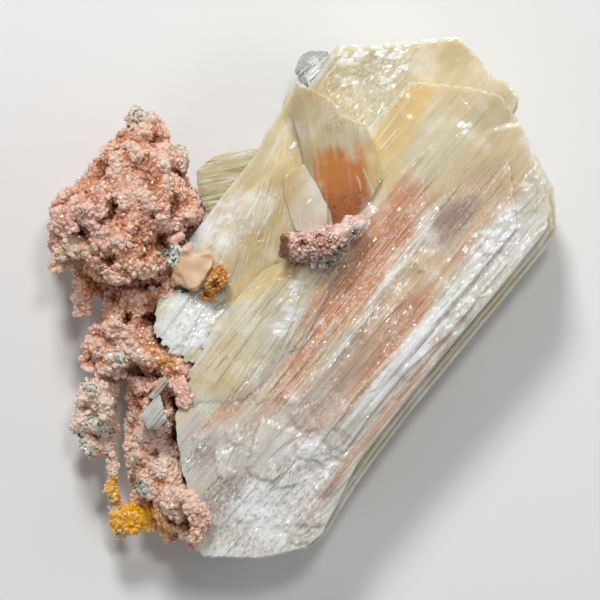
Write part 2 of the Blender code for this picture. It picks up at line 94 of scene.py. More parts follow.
def smoothStep(low, high, value):
    t = np.clip((value - low) / (high - low), 0, 1)
    return t * t * (3 - 2 * t)


def laths(across, along, seed, width, length, step, tilt):
    # the surface is split into strips of uneven width, each strip into pieces with slanted
    # ends, and every piece has its own height and its own small tilt
    wander = across + (softNoise(seed, across / (2 * width), along / (5 * length)) - 0.5) * width * 1.6
    strip = np.floor(wander / width)
    local = wander / width - strip - 0.5
    lean = (cellNumber(seed + 1, strip) - 0.5) * 2.4 * width
    size = length * (0.5 + cellNumber(seed + 2, strip))
    run = (along + local * lean) / size + cellNumber(seed + 3, strip) * 7
    piece = np.floor(run)
    rest = run - piece - 0.5
    height = cellNumber(seed + 4, strip, piece) * step
    rise = (cellNumber(seed + 5, strip, piece) - 0.5) * 2 * tilt
    fall = (cellNumber(seed + 6, strip, piece) - 0.5) * 0.35 * tilt
    return height + rise * local * width + fall * rest * size


# Meshes

def putMesh(name, points, faces):
    # points come in the specimen's millimetres
    mesh = bpy.data.meshes.new(name)
    mesh.from_pydata(((np.asarray(points) + shift) * mm).tolist(), [], faces)
    obj = bpy.data.objects.new(name, mesh)
    bpy.context.scene.collection.objects.link(obj)
    return obj


def vertexPoints(mesh):
    points = np.empty(len(mesh.vertices) * 3, np.float32)
    mesh.vertices.foreach_get("co", points)
    return points.reshape(-1, 3).astype(float) / mm - shift


def cornerVertices(mesh):
    corners = np.empty(len(mesh.loops), np.int64)
    mesh.loops.foreach_get("vertex_index", corners)
    return corners


def applyModifiers(obj):
    depsgraph = bpy.context.evaluated_depsgraph_get()
    mesh = bpy.data.meshes.new_from_object(obj.evaluated_get(depsgraph), depsgraph=depsgraph)
    obj.modifiers.clear()
    obj.data = mesh


def storeValues(mesh, name, values):
    attribute = mesh.attributes.new(name, "FLOAT", "POINT")
    attribute.data.foreach_set("value", np.clip(values, -1, 4).astype(np.float32))


def mendMesh(obj, distance=0):
    # merges doubles within a distance, if one is given, and turns every face outwards
    bm = bmesh.new()
    bm.from_mesh(obj.data)
    if distance:
        bmesh.ops.remove_doubles(bm, verts=bm.verts, dist=distance * mm)
    bmesh.ops.recalc_face_normals(bm, faces=bm.faces)
    bm.to_mesh(obj.data)
    bm.free()


def outlineDistance(points, outline):
    # distance from each point to the nearest edge of an outline
    nearest = np.full(points.shape[:-1], np.inf)
    for p, q in zip(outline, np.roll(outline, -1, 0)):
        edge = q - p
        part = np.clip(((points - p) @ edge) / (edge @ edge), 0, 1)
        gap = points - p - part[..., None] * edge
        nearest = np.minimum(nearest, np.sqrt((gap ** 2).sum(-1)))
    return nearest


def offsetOutline(outline, distance):
    # an outline moved outwards by a distance, with mitred corners
    outline = np.array(outline, float)
    following = np.roll(outline, -1, 0)
    if (outline[:, 0] * following[:, 1] - following[:, 0] * outline[:, 1]).sum() < 0:
        outline = outline[::-1]
    arriving = outline - np.roll(outline, 1, 0)
    arriving /= np.linalg.norm(arriving, axis=1)[:, None]
    leaving = np.roll(arriving, -1, 0)
    mitre = np.stack([arriving[:, 1] + leaving[:, 1], -arriving[:, 0] - leaving[:, 0]], 1)
    return outline + mitre / np.maximum(1 + (arriving * leaving).sum(1), 0.6)[:, None] * distance


def planeHeight(blade, points):
    # the flat plane under a blade's relief
    middle = np.array(blade["outline"], float).mean(0)
    return blade["high"] + (points - middle) @ np.array(blade.get("slope", (0, 0)), float)


def zoneMask(points, zones, seed, edge=1.0, soft=0.0):
    # soft ellipses along the growth axis, with edges that run out in streaks
    total = np.zeros(points.shape[:-1])
    across, along = points[..., :2] @ acrossAxis, points[..., :2] @ growthAxis
    fine, broad = softNoise(seed, across / 0.7, along / 7), softNoise(seed + 1, across / 2.5, along / 6)
    streak = fine * 0.6 + broad * 0.6 - 0.6
    for x, y, halfLength, halfWidth, strength, turn in zones:
        angle = growth + math.radians(turn)
        away = points[..., :2] - np.array([x, y])
        u = away @ np.array([math.cos(angle), math.sin(angle)]) / halfLength
        v = away @ np.array([-math.sin(angle), math.cos(angle)]) / halfWidth
        total = np.maximum(total,
                           strength * smoothStep(1.35 + soft, 0.55 - soft, np.hypot(u, v) + edge * streak))
    return total


# Where the face is fibrous, and where its flakes glint: x, y, half length along the axis, half width,
# strength, turn from the axis in degrees
roughZones = [(4.0, -4.0, 24.0, 6.0, 0.8, 0), (16.0, -4.0, 20.0, 5.0, 0.7, 0),
              (-4.0, -24.0, 15.0, 10.0, 0.8, 0),
              (26.0, 6.0, 9.0, 4.0, 0.6, 0), (-8.0, 6.0, 10.0, 4.0, 0.4, 0), (-8.0, -4.0, 12.0, 3.0, 0.5, 0)]
mottleZones = [(-14.5, -2.8, 4.5, 3.4, 0.9, 0), (-9.0, 7.6, 5.0, 3.0, 0.6, 0),
               (-4.6, -25.5, 11.0, 10.5, 1.0, 0), (-9.5, -18.0, 6.0, 4.5, 0.8, 0),
               (2.0, -17.0, 8.0, 4.0, 0.6, 0),
               (25.0, 7.0, 4.0, 3.0, 0.6, 0), (8.0, 28.0, 7.0, 6.0, 0.7, 0)]
calmZones = [(-3.2, -18.6, 3.8, 1.8, 0.85, 10), (-7.8, -21.2, 1.8, 1.2, 0.6, 0),
             (5.6, -13.0, 4.0, 1.4, 0.5, 0),
             (6.5, -25.0, 3.0, 2.0, 0.5, 0), (-10.0, -16.8, 3.0, 1.6, 0.5, 0)]
flakeZones = [(9.2, 30.8, 5.2, 1.3, 1.0, -44), (11.8, 28.4, 2.8, 1.5, 1.0, 0), (1.8, 28.0, 3.4, 0.8, 0.9, 6),
              (5.6, 26.6, 3.4, 2.0, 0.55, 0),
              (20.8, 21.8, 1.0, 0.8, 0.9, 0), (31.0, 16.5, 5.0, 1.5, 0.9, 8), (24.9, 7.6, 5.0, 2.0, 1.0, 0),
              (22.0, -0.5, 4.2, 1.2, 1.0, 0), (-0.3, 1.5, 1.8, 1.0, 1.0, 0), (-1.8, -3.2, 3.4, 1.2, 0.9, 0),
              (-0.5, 18.9, 1.3, 0.6, 1.0, 0), (-9.8, 10.7, 3.6, 1.5, 0.6, 0), (-12.1, -3.1, 3.6, 2.2, 1.0, 0),
              (-17.6, 0.0, 1.6, 1.2, 0.8, 0), (1.5, -18.9, 2.0, 1.6, 1.0, 0), (-4.0, -27.0, 3.0, 2.3, 1.0, 0),
              (-10.0, -19.8, 2.8, 1.5, 0.4, 0), (-1.0, -30.2, 1.7, 1.3, 0.8, 0),
              (2.9, -21.8, 2.8, 1.6, 0.8, 0),
              (13.0, -6.6, 8.0, 0.8, 0.6, 0)]


# Edges of overlapping growth sheets: a line with the high side on its left, its height, and the width
# over which the surface sinks back. Shells are the ragged lower ends, ridges run along the blades.
shells = [([(-11.0, -19.3), (-10.6, -21.4), (-10.2, -22.7), (-9.4, -23.3), (-8.4, -22.9), (-7.7, -21.9)],
           0.38, 7.0),
          ([(-4.5, -14.9), (-5.5, -17.4), (-6.2, -20.1), (-6.7, -21.6), (-5.9, -22.6), (-4.7, -23.1),
            (-3.3, -23.2),
            (-2.0, -22.4)], 0.5, 9.0),
          ([(-0.2, -18.3), (-0.5, -20.1), (1.0, -20.7), (2.3, -20.7), (3.3, -21.4)], 0.4, 7.0),
          ([(-4.0, -24.2), (-2.3, -24.2), (-0.6, -23.9), (0.7, -23.5)], 0.32, 6.0),
          ([(-3.7, -29.1), (-1.9, -29.2), (0.5, -28.9), (2.3, -29.1), (4.0, -28.8)], 0.34, 6.0),
          ([(-8.4, -28.0), (-6.8, -28.5), (-4.9, -28.4)], 0.3, 5.0),
          ([(-11.2, -29.3), (-9.7, -29.1), (-7.9, -29.3)], 0.22, 4.0),
          ([(-1.6, -31.1), (-0.1, -31.4), (1.6, -30.9)], 0.25, 4.0),
          ([(-2.1, -12.0), (-1.9, -13.3), (-1.0, -13.6), (0.1, -13.1)], 0.34, 6.0),
          ([(-1.2, -14.1), (-0.6, -15.8), (0.5, -17.0), (2.3, -16.8)], 0.32, 6.0),
          ([(15.3, 6.7), (14.8, 4.6), (15.3, 3.3), (16.6, 3.3)], 0.3, 5.0),
          ([(22.8, 6.4), (23.9, 5.4), (24.8, 5.3), (25.8, 6.4)], 0.32, 5.0),
          ([(-13.6, -17.2), (-13.2, -19.3), (-12.3, -20.1), (-11.2, -19.6)], 0.3, 5.0),
          ([(-9.4, -16.4), (-9.0, -18.0), (-7.9, -18.7), (-6.7, -18.0)], 0.28, 5.0),
          ([(1.5, -23.5), (2.5, -24.9), (4.0, -25.0), (5.3, -24.0)], 0.3, 6.0),
          ([(-8.1, -25.0), (-7.1, -25.9), (-5.7, -25.9)], 0.25, 4.0),
          ([(3.8, -18.5), (4.4, -20.1), (5.7, -20.6), (6.7, -19.8)], 0.3, 6.0)]
ridges = [([(18.1, -1.8), (15.5, -4.0), (12.0, -6.7), (8.6, -10.5), (6.4, -12.8), (4.0, -16.7)], 0.55, 2.2),
          ([(14.8, 5.5), (12.0, 3.2), (10.1, 1.0), (8.1, -1.5), (6.2, -4.6)], 0.45, 1.5),
          ([(21.3, 2.4), (19.7, 0.2), (18.5, -2.4)], 0.38, 1.4),
          ([(5.5, -20.1), (9.0, -14.9), (13.7, -9.3), (18.9, -4.6), (22.3, -0.7)], 0.45, 3.0),
          ([(13.6, -11.0), (18.7, -5.0), (22.7, -0.1), (26.8, 4.7)], 0.36, 2.2),
          ([(9.3, -19.3), (12.7, -15.9), (19.4, -7.7), (25.9, -0.3), (31.3, 5.9)], 0.4, 2.4),
          ([(-0.3, -7.2), (1.6, -3.8), (3.2, -0.5), (5.4, 4.4)], 0.4, 2.0),
          ([(-2.4, -6.8), (-1.0, -3.2), (0.3, 0.3)], 0.3, 1.4),
          ([(6.7, -1.6), (4.0, -5.0), (-0.7, -10.7), (-3.6, -12.5)], 0.3, 1.5),
          ([(0.5, 3.4), (-4.0, 2.1), (-7.2, 0.3), (-9.7, -1.2)], 0.4, 3.0),
          ([(30.2, 10.5), (30.0, 14.0), (29.3, 17.9), (28.0, 22.6)], 0.32, 3.0),
          ([(12.0, 27.6), (9.7, 28.8), (7.2, 30.2), (5.3, 30.5), (4.2, 29.6), (2.0, 26.3)], 0.25, 4.0),
          ([(-5.0, -13.8), (-0.1, -7.1), (2.8, -3.2)], 0.26, 1.2),
          ([(-8.4, -12.3), (-5.0, -8.4), (-2.1, -4.2)], 0.2, 1.2),
          ([(3.8, 4.6), (6.7, 7.7), (10.3, 11.1)], 0.2, 2.0),
          ([(9.4, 19.0), (14.4, 25.8)], 0.2, 1.0), ([(10.1, 18.2), (14.6, 23.0)], 0.22, 0.8),
          ([(-11.0, -11.8), (-7.9, -7.1), (-5.0, -3.2), (-1.9, -0.3)], 0.22, 1.4),
          ([(-17.6, -5.0), (-15.2, -1.8), (-13.6, 0.8)], 0.4, 1.5),
          ([(-15.6, -6.6), (-13.2, -3.4), (-11.6, -0.6)], 0.4, 1.5),
          ([(-13.8, -8.0), (-11.8, -5.2), (-10.4, -2.8)], 0.35, 1.5),
          ([(7.7, -6.8), (10.6, -3.2), (14.0, 0.2)], 0.3, 1.2),
          ([(1.5, -20.5), (3.8, -17.0), (6.7, -13.6)], 0.3, 1.6)]


def lineField(points, line):
    # signed distance to a line, positive on its left, and a weight that fades out at its two ends
    line = np.array(line)
    steps = np.linalg.norm(np.diff(line, axis=0), axis=1)
    starts = np.concatenate([[0], np.cumsum(steps)])
    best = np.full(points.shape[:-1], np.inf)
    side, place = np.zeros_like(best), np.zeros_like(best)
    for p, q, size, start in zip(line[:-1], line[1:], steps, starts):
        away, way = points - p, (q - p) / size
        t = np.clip(away @ way, 0, size)
        gap = np.linalg.norm(away - t[..., None] * way, axis=-1)
        closer = gap < best
        best = np.where(closer, gap, best)
        side = np.where(closer, way[0] * away[..., 1] - way[1] * away[..., 0], side)
        place = np.where(closer, t + start, place)
    fade = smoothStep(0, 0.9, place) * smoothStep(0, 0.9, starts[-1] - place)
    return np.where(side > 0, best, -best), fade


def raggedPoints(points, seed, rag):
    across, along = points @ acrossAxis, points @ growthAxis
    toothed = 0.5 * cellNumber(seed, np.floor(across / 0.36))
    ragged = rag * (toothed + softNoise(seed, across / 1.1, along / 6) - 0.75)
    return points + ragged[..., None] * growthAxis


def stepRelief(points, lines, seed, rag, soft):
    # beside each line the surface stands up by the line's height and sinks back with distance
    points = raggedPoints(points, seed, rag)
    total = np.zeros(points.shape[:-1])
    for line, height, width in lines:
        signed, fade = lineField(points, line)
        total += height * fade * smoothStep(-soft, soft, signed) * np.exp(-np.maximum(signed, 0) / width)
    return total


def shadeUnderShells(points, lines, seed, rag):
    # painted shade: a brownish darkening at the foot of each shell's edge, where shade falls under it
    points = raggedPoints(points, seed, rag)
    total = np.zeros(points.shape[:-1])
    for line, height, _ in lines:
        signed, fade = lineField(points, line)
        total = np.maximum(total, 0.8 * height * fade * np.exp(-((signed + 0.10) / 0.17) ** 2))
    return total


# Single bright lines, painted white: white growth lines, and painted highlights along blade edges
threads = [[(7.9, 16.8), (8.7, 15.0), (9.7, 12.7)], [(7.0, 15.9), (7.7, 14.6), (7.9, 13.2)],
           [(8.0, 9.7), (10.7, 12.8)],
           [(9.5, 19.4), (14.4, 25.7)], [(10.3, 18.2), (14.6, 22.9)], [(10.0, 18.5), (12.6, 21.6)],
           [(5.1, 4.0), (3.2, -0.6), (1.6, -3.9)], [(-6.6, -5.6), (-3.0, -1.2), (-0.8, 1.4)],
           [(-8.2, -8.2), (-5.2, -4.4), (-2.8, -2.0)], [(-10.6, -9.6), (-7.4, -5.6)],
           [(-12.0, -9.0), (-9.6, -6.2)],
           [(-4.8, 16.0), (-2.4, 20.4), (-1.2, 23.4)], [(-7.0, 9.5), (-4.4, 14.2)],
           [(-5.6, 7.4), (-3.2, 11.6)],
           [(2.2, 29.6), (4.2, 31.4)], [(3.0, 27.9), (6.0, 30.9)], [(15.4, 26.9), (16.4, 28.4)],
           [(16.4, 27.3), (17.3, 28.6)]]


def threadMask(points):
    total = np.zeros(points.shape[:-1])
    for line in threads:
        signed, fade = lineField(points, line)
        total = np.maximum(total, fade * np.exp(-(signed / 0.11) ** 2))
    return total


def phantom(points, top, spread):
    # the rust-coloured layers inside the amber blade, with a streaky upper edge
    lean = math.radians(8.3)
    across = points[:, 0] * math.cos(lean) + points[:, 1] * math.sin(lean)
    along = points[:, 1] * math.cos(lean) - points[:, 0] * math.sin(lean)
    fine, broad = softNoise(331, across / 0.3, along / 1.5), softNoise(332, across / 1.1, along / 1.6)
    streak = 0.8 * fine + 1.2 * broad - 1.0
    inside = smoothStep(3.4, 4.8, across + 0.25 * np.maximum(16 - along, 0)) * smoothStep(11.3, 10.1, across)
    return inside * smoothStep(top, top - spread, along + streak)


def flakeCells(points):
    # parallelogram cells of uneven length: the place in the cell, and how strongly the cell is tilted
    cellWidth, chosenShare = 0.72, 0.42
    second = np.array([math.cos(-0.1), math.sin(-0.1)])
    inverse = np.linalg.inv(np.stack([growthAxis, second], 1))
    part = points @ inverse.T
    part = part + 0.6 * softNoise(60, points[..., 0] / 1.9, points[..., 1] / 1.9)[..., None]
    across = part[..., 1] / cellWidth
    strip = np.floor(across)
    length = 0.7 + 1.5 * cellNumber(61, strip) ** 2
    along = part[..., 0] / length + cellNumber(62, strip) * 5
    piece = np.floor(along)
    alongOffset = ((along - piece - 0.5) * length)[..., None] * growthAxis
    offset = alongOffset + ((across - strip - 0.5) * cellWidth)[..., None] * second
    chosen = cellNumber(63, strip, piece)
    return offset, np.where(chosen < chosenShare, 0.85 + chosen, 0.0)


def flakeRelief(points):
    # the chosen flakes are tilted to throw the glint light to the camera
    offset, strength = flakeCells(points)
    return -(offset @ glintSlope) * strength


def bladeSolid(blade, index):
    # rays from the blade's focus sweep its outline, and each ray is a column of a grid. The upper
    # face is a tilted plane with laths on it; the wall is a stack of thin sheets, each set in or
    # out by its own amount; strips from edge to edge close the back.
    outline = offsetOutline(blade["outline"], 0)
    middle = np.array(blade["outline"], float).mean(0)
    angle = math.radians(blade.get("angle", 50))
    direction = np.array([math.cos(angle), math.sin(angle)])
    focus = np.array(blade.get("focus", middle - direction * farAway), float)
    fromFocus = outline - focus
    turns = np.arctan2(fromFocus[:, 1], fromFocus[:, 0])
    distance = np.linalg.norm(middle - focus)
    inset = 0.03 / distance
    columns = max(8, int((turns.max() - turns.min()) * distance / blade.get("pitch", 0.16)))
    theta = np.linspace(turns.min() + inset, turns.max() - inset, columns)
    across = theta * distance
    rays = np.stack([np.cos(theta), np.sin(theta)], 1)
    edge = np.roll(outline, -1, 0) - outline
    lean = rays[:, None, 0] * edge[None, :, 1] - rays[:, None, 1] * edge[None, :, 0]
    lean = np.where(np.abs(lean) < 1e-12, 1e-12, lean)
    reach = (fromFocus[:, 0] * edge[:, 1] - fromFocus[:, 1] * edge[:, 0])[None] / lean
    place = (fromFocus[None, :, 0] * rays[:, None, 1] - fromFocus[None, :, 1] * rays[:, None, 0]) / lean
    hit = (place >= 0) & (place <= 1)
    near = np.where(hit, reach, np.inf).min(1)
    far = np.where(hit, reach, -np.inf).max(1)
    seed = 1000 + 37 * index
    jag = blade.get("jag", 0.3)
    notch = np.floor(across / blade.get("notch", 0.5))
    room = smoothStep(1, 4, far - near)
    near = near + cellNumber(seed, notch) * jag * room
    far = far - cellNumber(seed + 1, notch) * jag * room
    middleOut, halfOut = (far + near) / 2, np.maximum(far - near, 0.5) / 2
    near, far = middleOut - halfOut, middleOut + halfOut
    rows = max(4, int((far - near).max() / blade.get("row", 0.34)))
    along = near[:, None] + np.linspace(0, 1, rows)[None] * (far - near)[:, None]
    flat = focus + rays[:, None] * along[..., None]
    wide = np.repeat(across[:, None], rows, 1)
    height = planeHeight(blade, flat)
    rough = blade.get("rough", 0.25 + 0.75 * zoneMask(flat, roughZones, 40))
    rough = rough * (1 - 0.55 * zoneMask(flat, mottleZones, 45))
    for number, lath in enumerate(blade["laths"]):
        height = height + rough * laths(wide, along, seed + 10 * number + 10, *lath)
    if blade.get("fine", False):
        height += zoneMask(flat, flakeZones, 50, 0.6) * flakeRelief(flat)
        height += 0.8 * stepRelief(flat, shells, 61, 0.35, 0.28) + stepRelief(flat, ridges, 62, 0.15, 0.08)
    if "dome" in blade:
        x, y, halfLength, halfWidth, rise = blade["dome"]
        away = flat - np.array([x, y])
        height += rise * np.exp(-(away @ growthAxis / halfLength) ** 2 - (away @ acrossAxis / halfWidth) ** 2)
    for spot, way, fall in blade.get("facets", []):
        spot, way = np.array(spot), np.array(way) / math.hypot(*way)
        beyond = np.maximum((flat - spot) @ way, 0)
        height -= np.minimum(beyond * fall, blade.get("deepest", 1.6))
    rim = blade.get("rim", 0.12)
    fromEdge = outlineDistance(flat, outline)
    height -= rim * np.clip(1 - fromEdge / (rim * 1.3), 0, 1)

    grid = np.arange(columns * rows).reshape(columns, rows)
    ring = np.concatenate([grid[0], grid[1:-1, -1], grid[-1, ::-1], grid[-2:0:-1, 0]])
    top = np.concatenate([flat.reshape(-1, 2), height.reshape(-1, 1)], 1)
    lathMap = np.stack([wide.ravel(), along.ravel()], 1)
    rimPoints = top[ring]
    closed = np.concatenate([rimPoints[-1:], rimPoints, rimPoints[:1]])[:, :2]
    travelled = np.concatenate([[0], np.cumsum(np.linalg.norm(np.diff(closed, axis=0), axis=1) + 1e-7)])
    reachAhead = 0.5
    spots = travelled[1:-1]
    total = travelled[-2] + np.linalg.norm(closed[-1] - closed[-2])

    def around(place):
        place = np.mod(place, total)
        return np.stack([np.interp(place, travelled[:-1], closed[:-1, i]) for i in (0, 1)], 1)

    tangent = around(spots + reachAhead) - around(spots - reachAhead)
    tangent /= np.linalg.norm(tangent, axis=1)[:, None] + 1e-9
    outward = np.stack([tangent[:, 1], -tangent[:, 0]], 1)
    rimX, rimY = rimPoints[:, 0], rimPoints[:, 1]
    if (rimX * np.roll(rimY, -1) - np.roll(rimX, -1) * rimY).sum() < 0:
        outward = -outward
    under = blade["low"] + (rimPoints[:, :2] - middle) @ np.array(blade.get("under", (0, 0)), float)
    thickness = float(np.median(rimPoints[:, 2] - under))
    sheets = max(2, int(thickness / blade.get("sheet", 0.55)))
    levels = np.linspace(0, 1, sheets + 1)
    levels[1:-1] += (cellNumber(seed + 2, np.arange(1, sheets)) - 0.5) * 0.6 / sheets
    layers = []
    for sheet in range(sheets):
        setIn = (cellNumber(seed + 3, np.full(1, sheet)) - 0.45) * blade.get("ledge", 0.22)
        ripple = softNoise(seed + 4 + sheet, spots / 2.6) - 0.5
        chips = cellNumber(seed + 5, np.floor(spots / 0.8), np.full(len(spots), sheet)) - 0.5
        move = (setIn + 0.22 * ripple + 0.07 * chips) * (sheet > 0)
        for level in (levels[sheet], levels[sheet + 1]):
            inward = blade.get("flare", 0.0) * level
            spot = rimPoints[:, :2] + outward * (move - inward)[:, None]
            z = rimPoints[:, 2] * (1 - level) + under * level
            layers.append(np.concatenate([spot, z[:, None]], 1))
    layers = layers[1:]

    count = len(ring)
    first = columns * rows
    faces = [np.stack([grid[:-1, :-1], grid[1:, :-1], grid[1:, 1:], grid[:-1, 1:]], -1).reshape(-1, 4)]
    upper = ring
    for layer in range(len(layers)):
        lower = first + layer * count + np.arange(count)
        faces.append(np.stack([upper, np.roll(upper, -1), np.roll(lower, -1), lower], 1))
        upper = lower
    farEnds = np.concatenate([upper[rows - 1:rows], upper[rows:rows + columns - 2],
                              upper[rows + columns - 2:][:1]])
    nearEnds = np.concatenate([upper[:1], upper[2 * rows + columns - 2:][::-1],
                               upper[2 * rows + columns - 3:2 * rows + columns - 2]])
    faces.append(np.stack([nearEnds[1:-2], farEnds[1:-2], farEnds[2:-1], nearEnds[2:-1]], 1))
    faceList = np.concatenate(faces).tolist()
    faceList.append(upper[:rows].tolist() + [int(farEnds[1]), int(nearEnds[1])])
    lastColumn = upper[rows + columns - 2:2 * rows + columns - 2].tolist()
    faceList.append(lastColumn + [int(nearEnds[-2]), int(farEnds[-2])])
    points = np.concatenate([top] + layers)
    maps = np.concatenate([lathMap] + [lathMap[ring]] * len(layers))
    # painted glow: the face is whitened near its outline and the walls a little, as if lit through thin edges
    edgeGlow = blade.get("glow", 0.3) * np.exp(-(fromEdge.ravel() / 0.4) ** 2)
    obj = putMesh("blade", points, faceList)
    storeValues(obj.data, "edge", np.concatenate([edgeGlow] + [np.full(count, 0.4)] * len(layers)))
    layer = obj.data.uv_layers.new(name="lath")
    layer.data.foreach_set("uv", maps[cornerVertices(obj.data)].ravel())
    kind = obj.data.attributes.new("blade", "INT", "FACE")
    kind.data.foreach_set("value", np.full(len(obj.data.polygons), index, np.int32))
    mendMesh(obj)
    return obj


def fuse(name, solids):
    # unites closed solids into one skin
    base = solids[0]
    if len(solids) > 1:
        group = bpy.data.collections.new("operands")
        for solid in solids[1:]:
            group.objects.link(solid)
        union = base.modifiers.new("union", "BOOLEAN")
        union.operation = "UNION"
        union.operand_type = "COLLECTION"
        union.solver = "MANIFOLD"
        union.collection = group
        applyModifiers(base)
        bpy.data.collections.remove(group)
        for solid in solids[1:]:
            bpy.data.objects.remove(solid)
    base.name = name
    base.data.name = name
    return base


# Node trees

def feed(tree, socket, value):
    # links a socket to another one, or sets its value
    if isinstance(value, bpy.types.NodeSocket):
        tree.links.new(value, socket)
    else:
        socket.default_value = value


def setInputs(shader, **values):
    for key, value in values.items():
        shader.inputs[key.replace("_", " ")].default_value = value


def addNode(tree, kind, settings=None, **sockets):
    # adds a node; a socket given another socket is linked to it, and any other value is set
    node = tree.nodes.new(kind)
    for key, value in (settings or {}).items():
        setattr(node, key, value)
    for key, value in sockets.items():
        numbered = key[0] == "i" and key[1:].isdigit()
        feed(tree, node.inputs[int(key[1:]) if numbered else key.replace("_", " ")], value)
    return node


def mathNode(tree, operation, *values):
    return addNode(tree, "ShaderNodeMath", {"operation": operation},
                   **{f"i{i}": value for i, value in enumerate(values)}).outputs[0]


def mixColour(tree, factor, first, second, blend="MIX"):
    node = addNode(tree, "ShaderNodeMix", {"data_type": "RGBA", "blend_type": blend})
    for socket, value in ((node.inputs[0], factor), (node.inputs[6], first), (node.inputs[7], second)):
        feed(tree, socket, (*value, 1) if isinstance(value, tuple) else value)
    return node.outputs[2]


def remap(tree, value, low, high, first=0.0, last=1.0):
    node = addNode(tree, "ShaderNodeMapRange", None, i0=value, i1=low, i2=high, i3=first, i4=last)
    return node.outputs[0]


def attributeValue(tree, name):
    return addNode(tree, "ShaderNodeAttribute", {"attribute_name": name}).outputs["Fac"]


def newGroup(name, inputs, outputs):
    group = bpy.data.node_groups.new(name, "ShaderNodeTree")
    for label, kind, value in inputs:
        socket = group.interface.new_socket(label, in_out="INPUT", socket_type=kind)
        if value is not None:
            socket.default_value = value
    for label, kind in outputs:
        group.interface.new_socket(label, in_out="OUTPUT", socket_type=kind)
    return group, group.nodes.new("NodeGroupInput"), group.nodes.new("NodeGroupOutput")


def useGroup(tree, group, **sockets):
    node = addNode(tree, "ShaderNodeGroup")
    node.node_tree = group
    for key, value in sockets.items():
        feed(tree, node.inputs[key.replace("_", " ")], value)
    return node


def makeStreakGroup():
    # fine growth lines: noise drawn out along the blades, read in millimetres across and along
    group, source, result = newGroup(
        "growthLines",
        [("Lath", "NodeSocketVector", None), ("Across", "NodeSocketFloat", 3.0),
         ("Along", "NodeSocketFloat", 0.12)],
        [("Lines", "NodeSocketFloat"), ("Broad", "NodeSocketFloat")])
    parts = addNode(group, "ShaderNodeSeparateXYZ", None, i0=source.outputs["Lath"])
    acrossPart = mathNode(group, "MULTIPLY", parts.outputs[0], source.outputs["Across"])
    alongPart = mathNode(group, "MULTIPLY", parts.outputs[1], source.outputs["Along"])
    place = addNode(group, "ShaderNodeCombineXYZ", None, i0=acrossPart, i1=alongPart, i2=0.0)
    fine = addNode(group, "ShaderNodeTexNoise", None, Vector=place.outputs[0], Scale=1.0, Detail=3.0,
                   Roughness=0.6)
    broad = addNode(group, "ShaderNodeTexNoise", None, Vector=place.outputs[0], Scale=0.23, Detail=2.0,
                    Roughness=0.5)
    group.links.new(fine.outputs["Fac"], result.inputs["Lines"])
    group.links.new(broad.outputs["Fac"], result.inputs["Broad"])
    return group


def makeSpeckGroup():
    # small irregular grains of tone, on object coordinates in metres
    group, source, result = newGroup(
        "speckle", [("Size", "NodeSocketFloat", 0.5)],
        [("Speck", "NodeSocketFloat"), ("Cloud", "NodeSocketFloat")])
    place = addNode(group, "ShaderNodeTexCoord")
    perMetre = mathNode(group, "DIVIDE", 1 / mm, source.outputs["Size"])
    speck = addNode(group, "ShaderNodeTexNoise", None, Vector=place.outputs["Object"], Scale=perMetre,
                    Detail=2.0)
    slow = mathNode(group, "MULTIPLY", perMetre, 0.12)
    cloud = addNode(group, "ShaderNodeTexNoise", None, Vector=place.outputs["Object"], Scale=slow, Detail=3.0)
    group.links.new(speck.outputs["Fac"], result.inputs["Speck"])
    group.links.new(cloud.outputs["Fac"], result.inputs["Cloud"])
    return group


streakGroup = makeStreakGroup()
speckGroup = makeSpeckGroup()


def newMaterial(name):
    material = bpy.data.materials.new(name)
    material.use_nodes = True
    tree = material.node_tree
    return material, tree, tree.nodes["Principled BSDF"]


def makeFlakeGroup():
    # every small cell of the surface gets its own tilt, so that a few of them glint
    group, source, result = newGroup(
        "flakeNormals",
        [("Lath", "NodeSocketVector", None), ("Cells", "NodeSocketFloat", 2.0),
         ("Tilt", "NodeSocketFloat", 0.2)],
        [("Normal", "NodeSocketVector"), ("Tone", "NodeSocketFloat")])
    parts = addNode(group, "ShaderNodeSeparateXYZ", None, i0=source.outputs["Lath"])
    acrossPart = mathNode(group, "MULTIPLY", parts.outputs[0], 1.7)
    place = addNode(group, "ShaderNodeCombineXYZ", None, i0=acrossPart, i1=parts.outputs[1], i2=0.0)
    cells = addNode(group, "ShaderNodeTexVoronoi", {"voronoi_dimensions": "2D"}, Vector=place.outputs[0],
                    Scale=source.outputs["Cells"])
    centred = addNode(group, "ShaderNodeVectorMath", {"operation": "SUBTRACT"}, i0=cells.outputs["Color"],
                      i1=(0.5, 0.5, 0.5))
    tilted = addNode(group, "ShaderNodeVectorMath", {"operation": "SCALE"}, i0=centred.outputs[0],
                     Scale=source.outputs["Tilt"])
    face = addNode(group, "ShaderNodeNewGeometry")
    added = addNode(group, "ShaderNodeVectorMath", {"operation": "ADD"}, i0=face.outputs["Normal"],
                    i1=tilted.outputs[0])
    normal = addNode(group, "ShaderNodeVectorMath", {"operation": "NORMALIZE"}, i0=added.outputs[0])
    tone = addNode(group, "ShaderNodeSeparateColor", None, i0=cells.outputs["Color"])
    group.links.new(normal.outputs[0], result.inputs["Normal"])
    group.links.new(tone.outputs[2], result.inputs["Tone"])
    return group


flakeGroup = makeFlakeGroup()
stilbiteColours = {
    "cream": (0.76, 0.69, 0.50),
    "grey": (0.68, 0.64, 0.59),
    "olive": (0.54, 0.45, 0.26),
    "amber": (0.80, 0.60, 0.27),
    "blush": (0.70, 0.35, 0.19),
    "rust": (0.70, 0.29, 0.085),
    "deepRust": (0.50, 0.17, 0.065),
    "mauve": (0.38, 0.27, 0.24),
    # painted shade colour for the foot of each shell's edge
    "shellShade": (0.44, 0.30, 0.23),
    "whiteAndHighlight": (0.93, 0.93, 0.90),
}


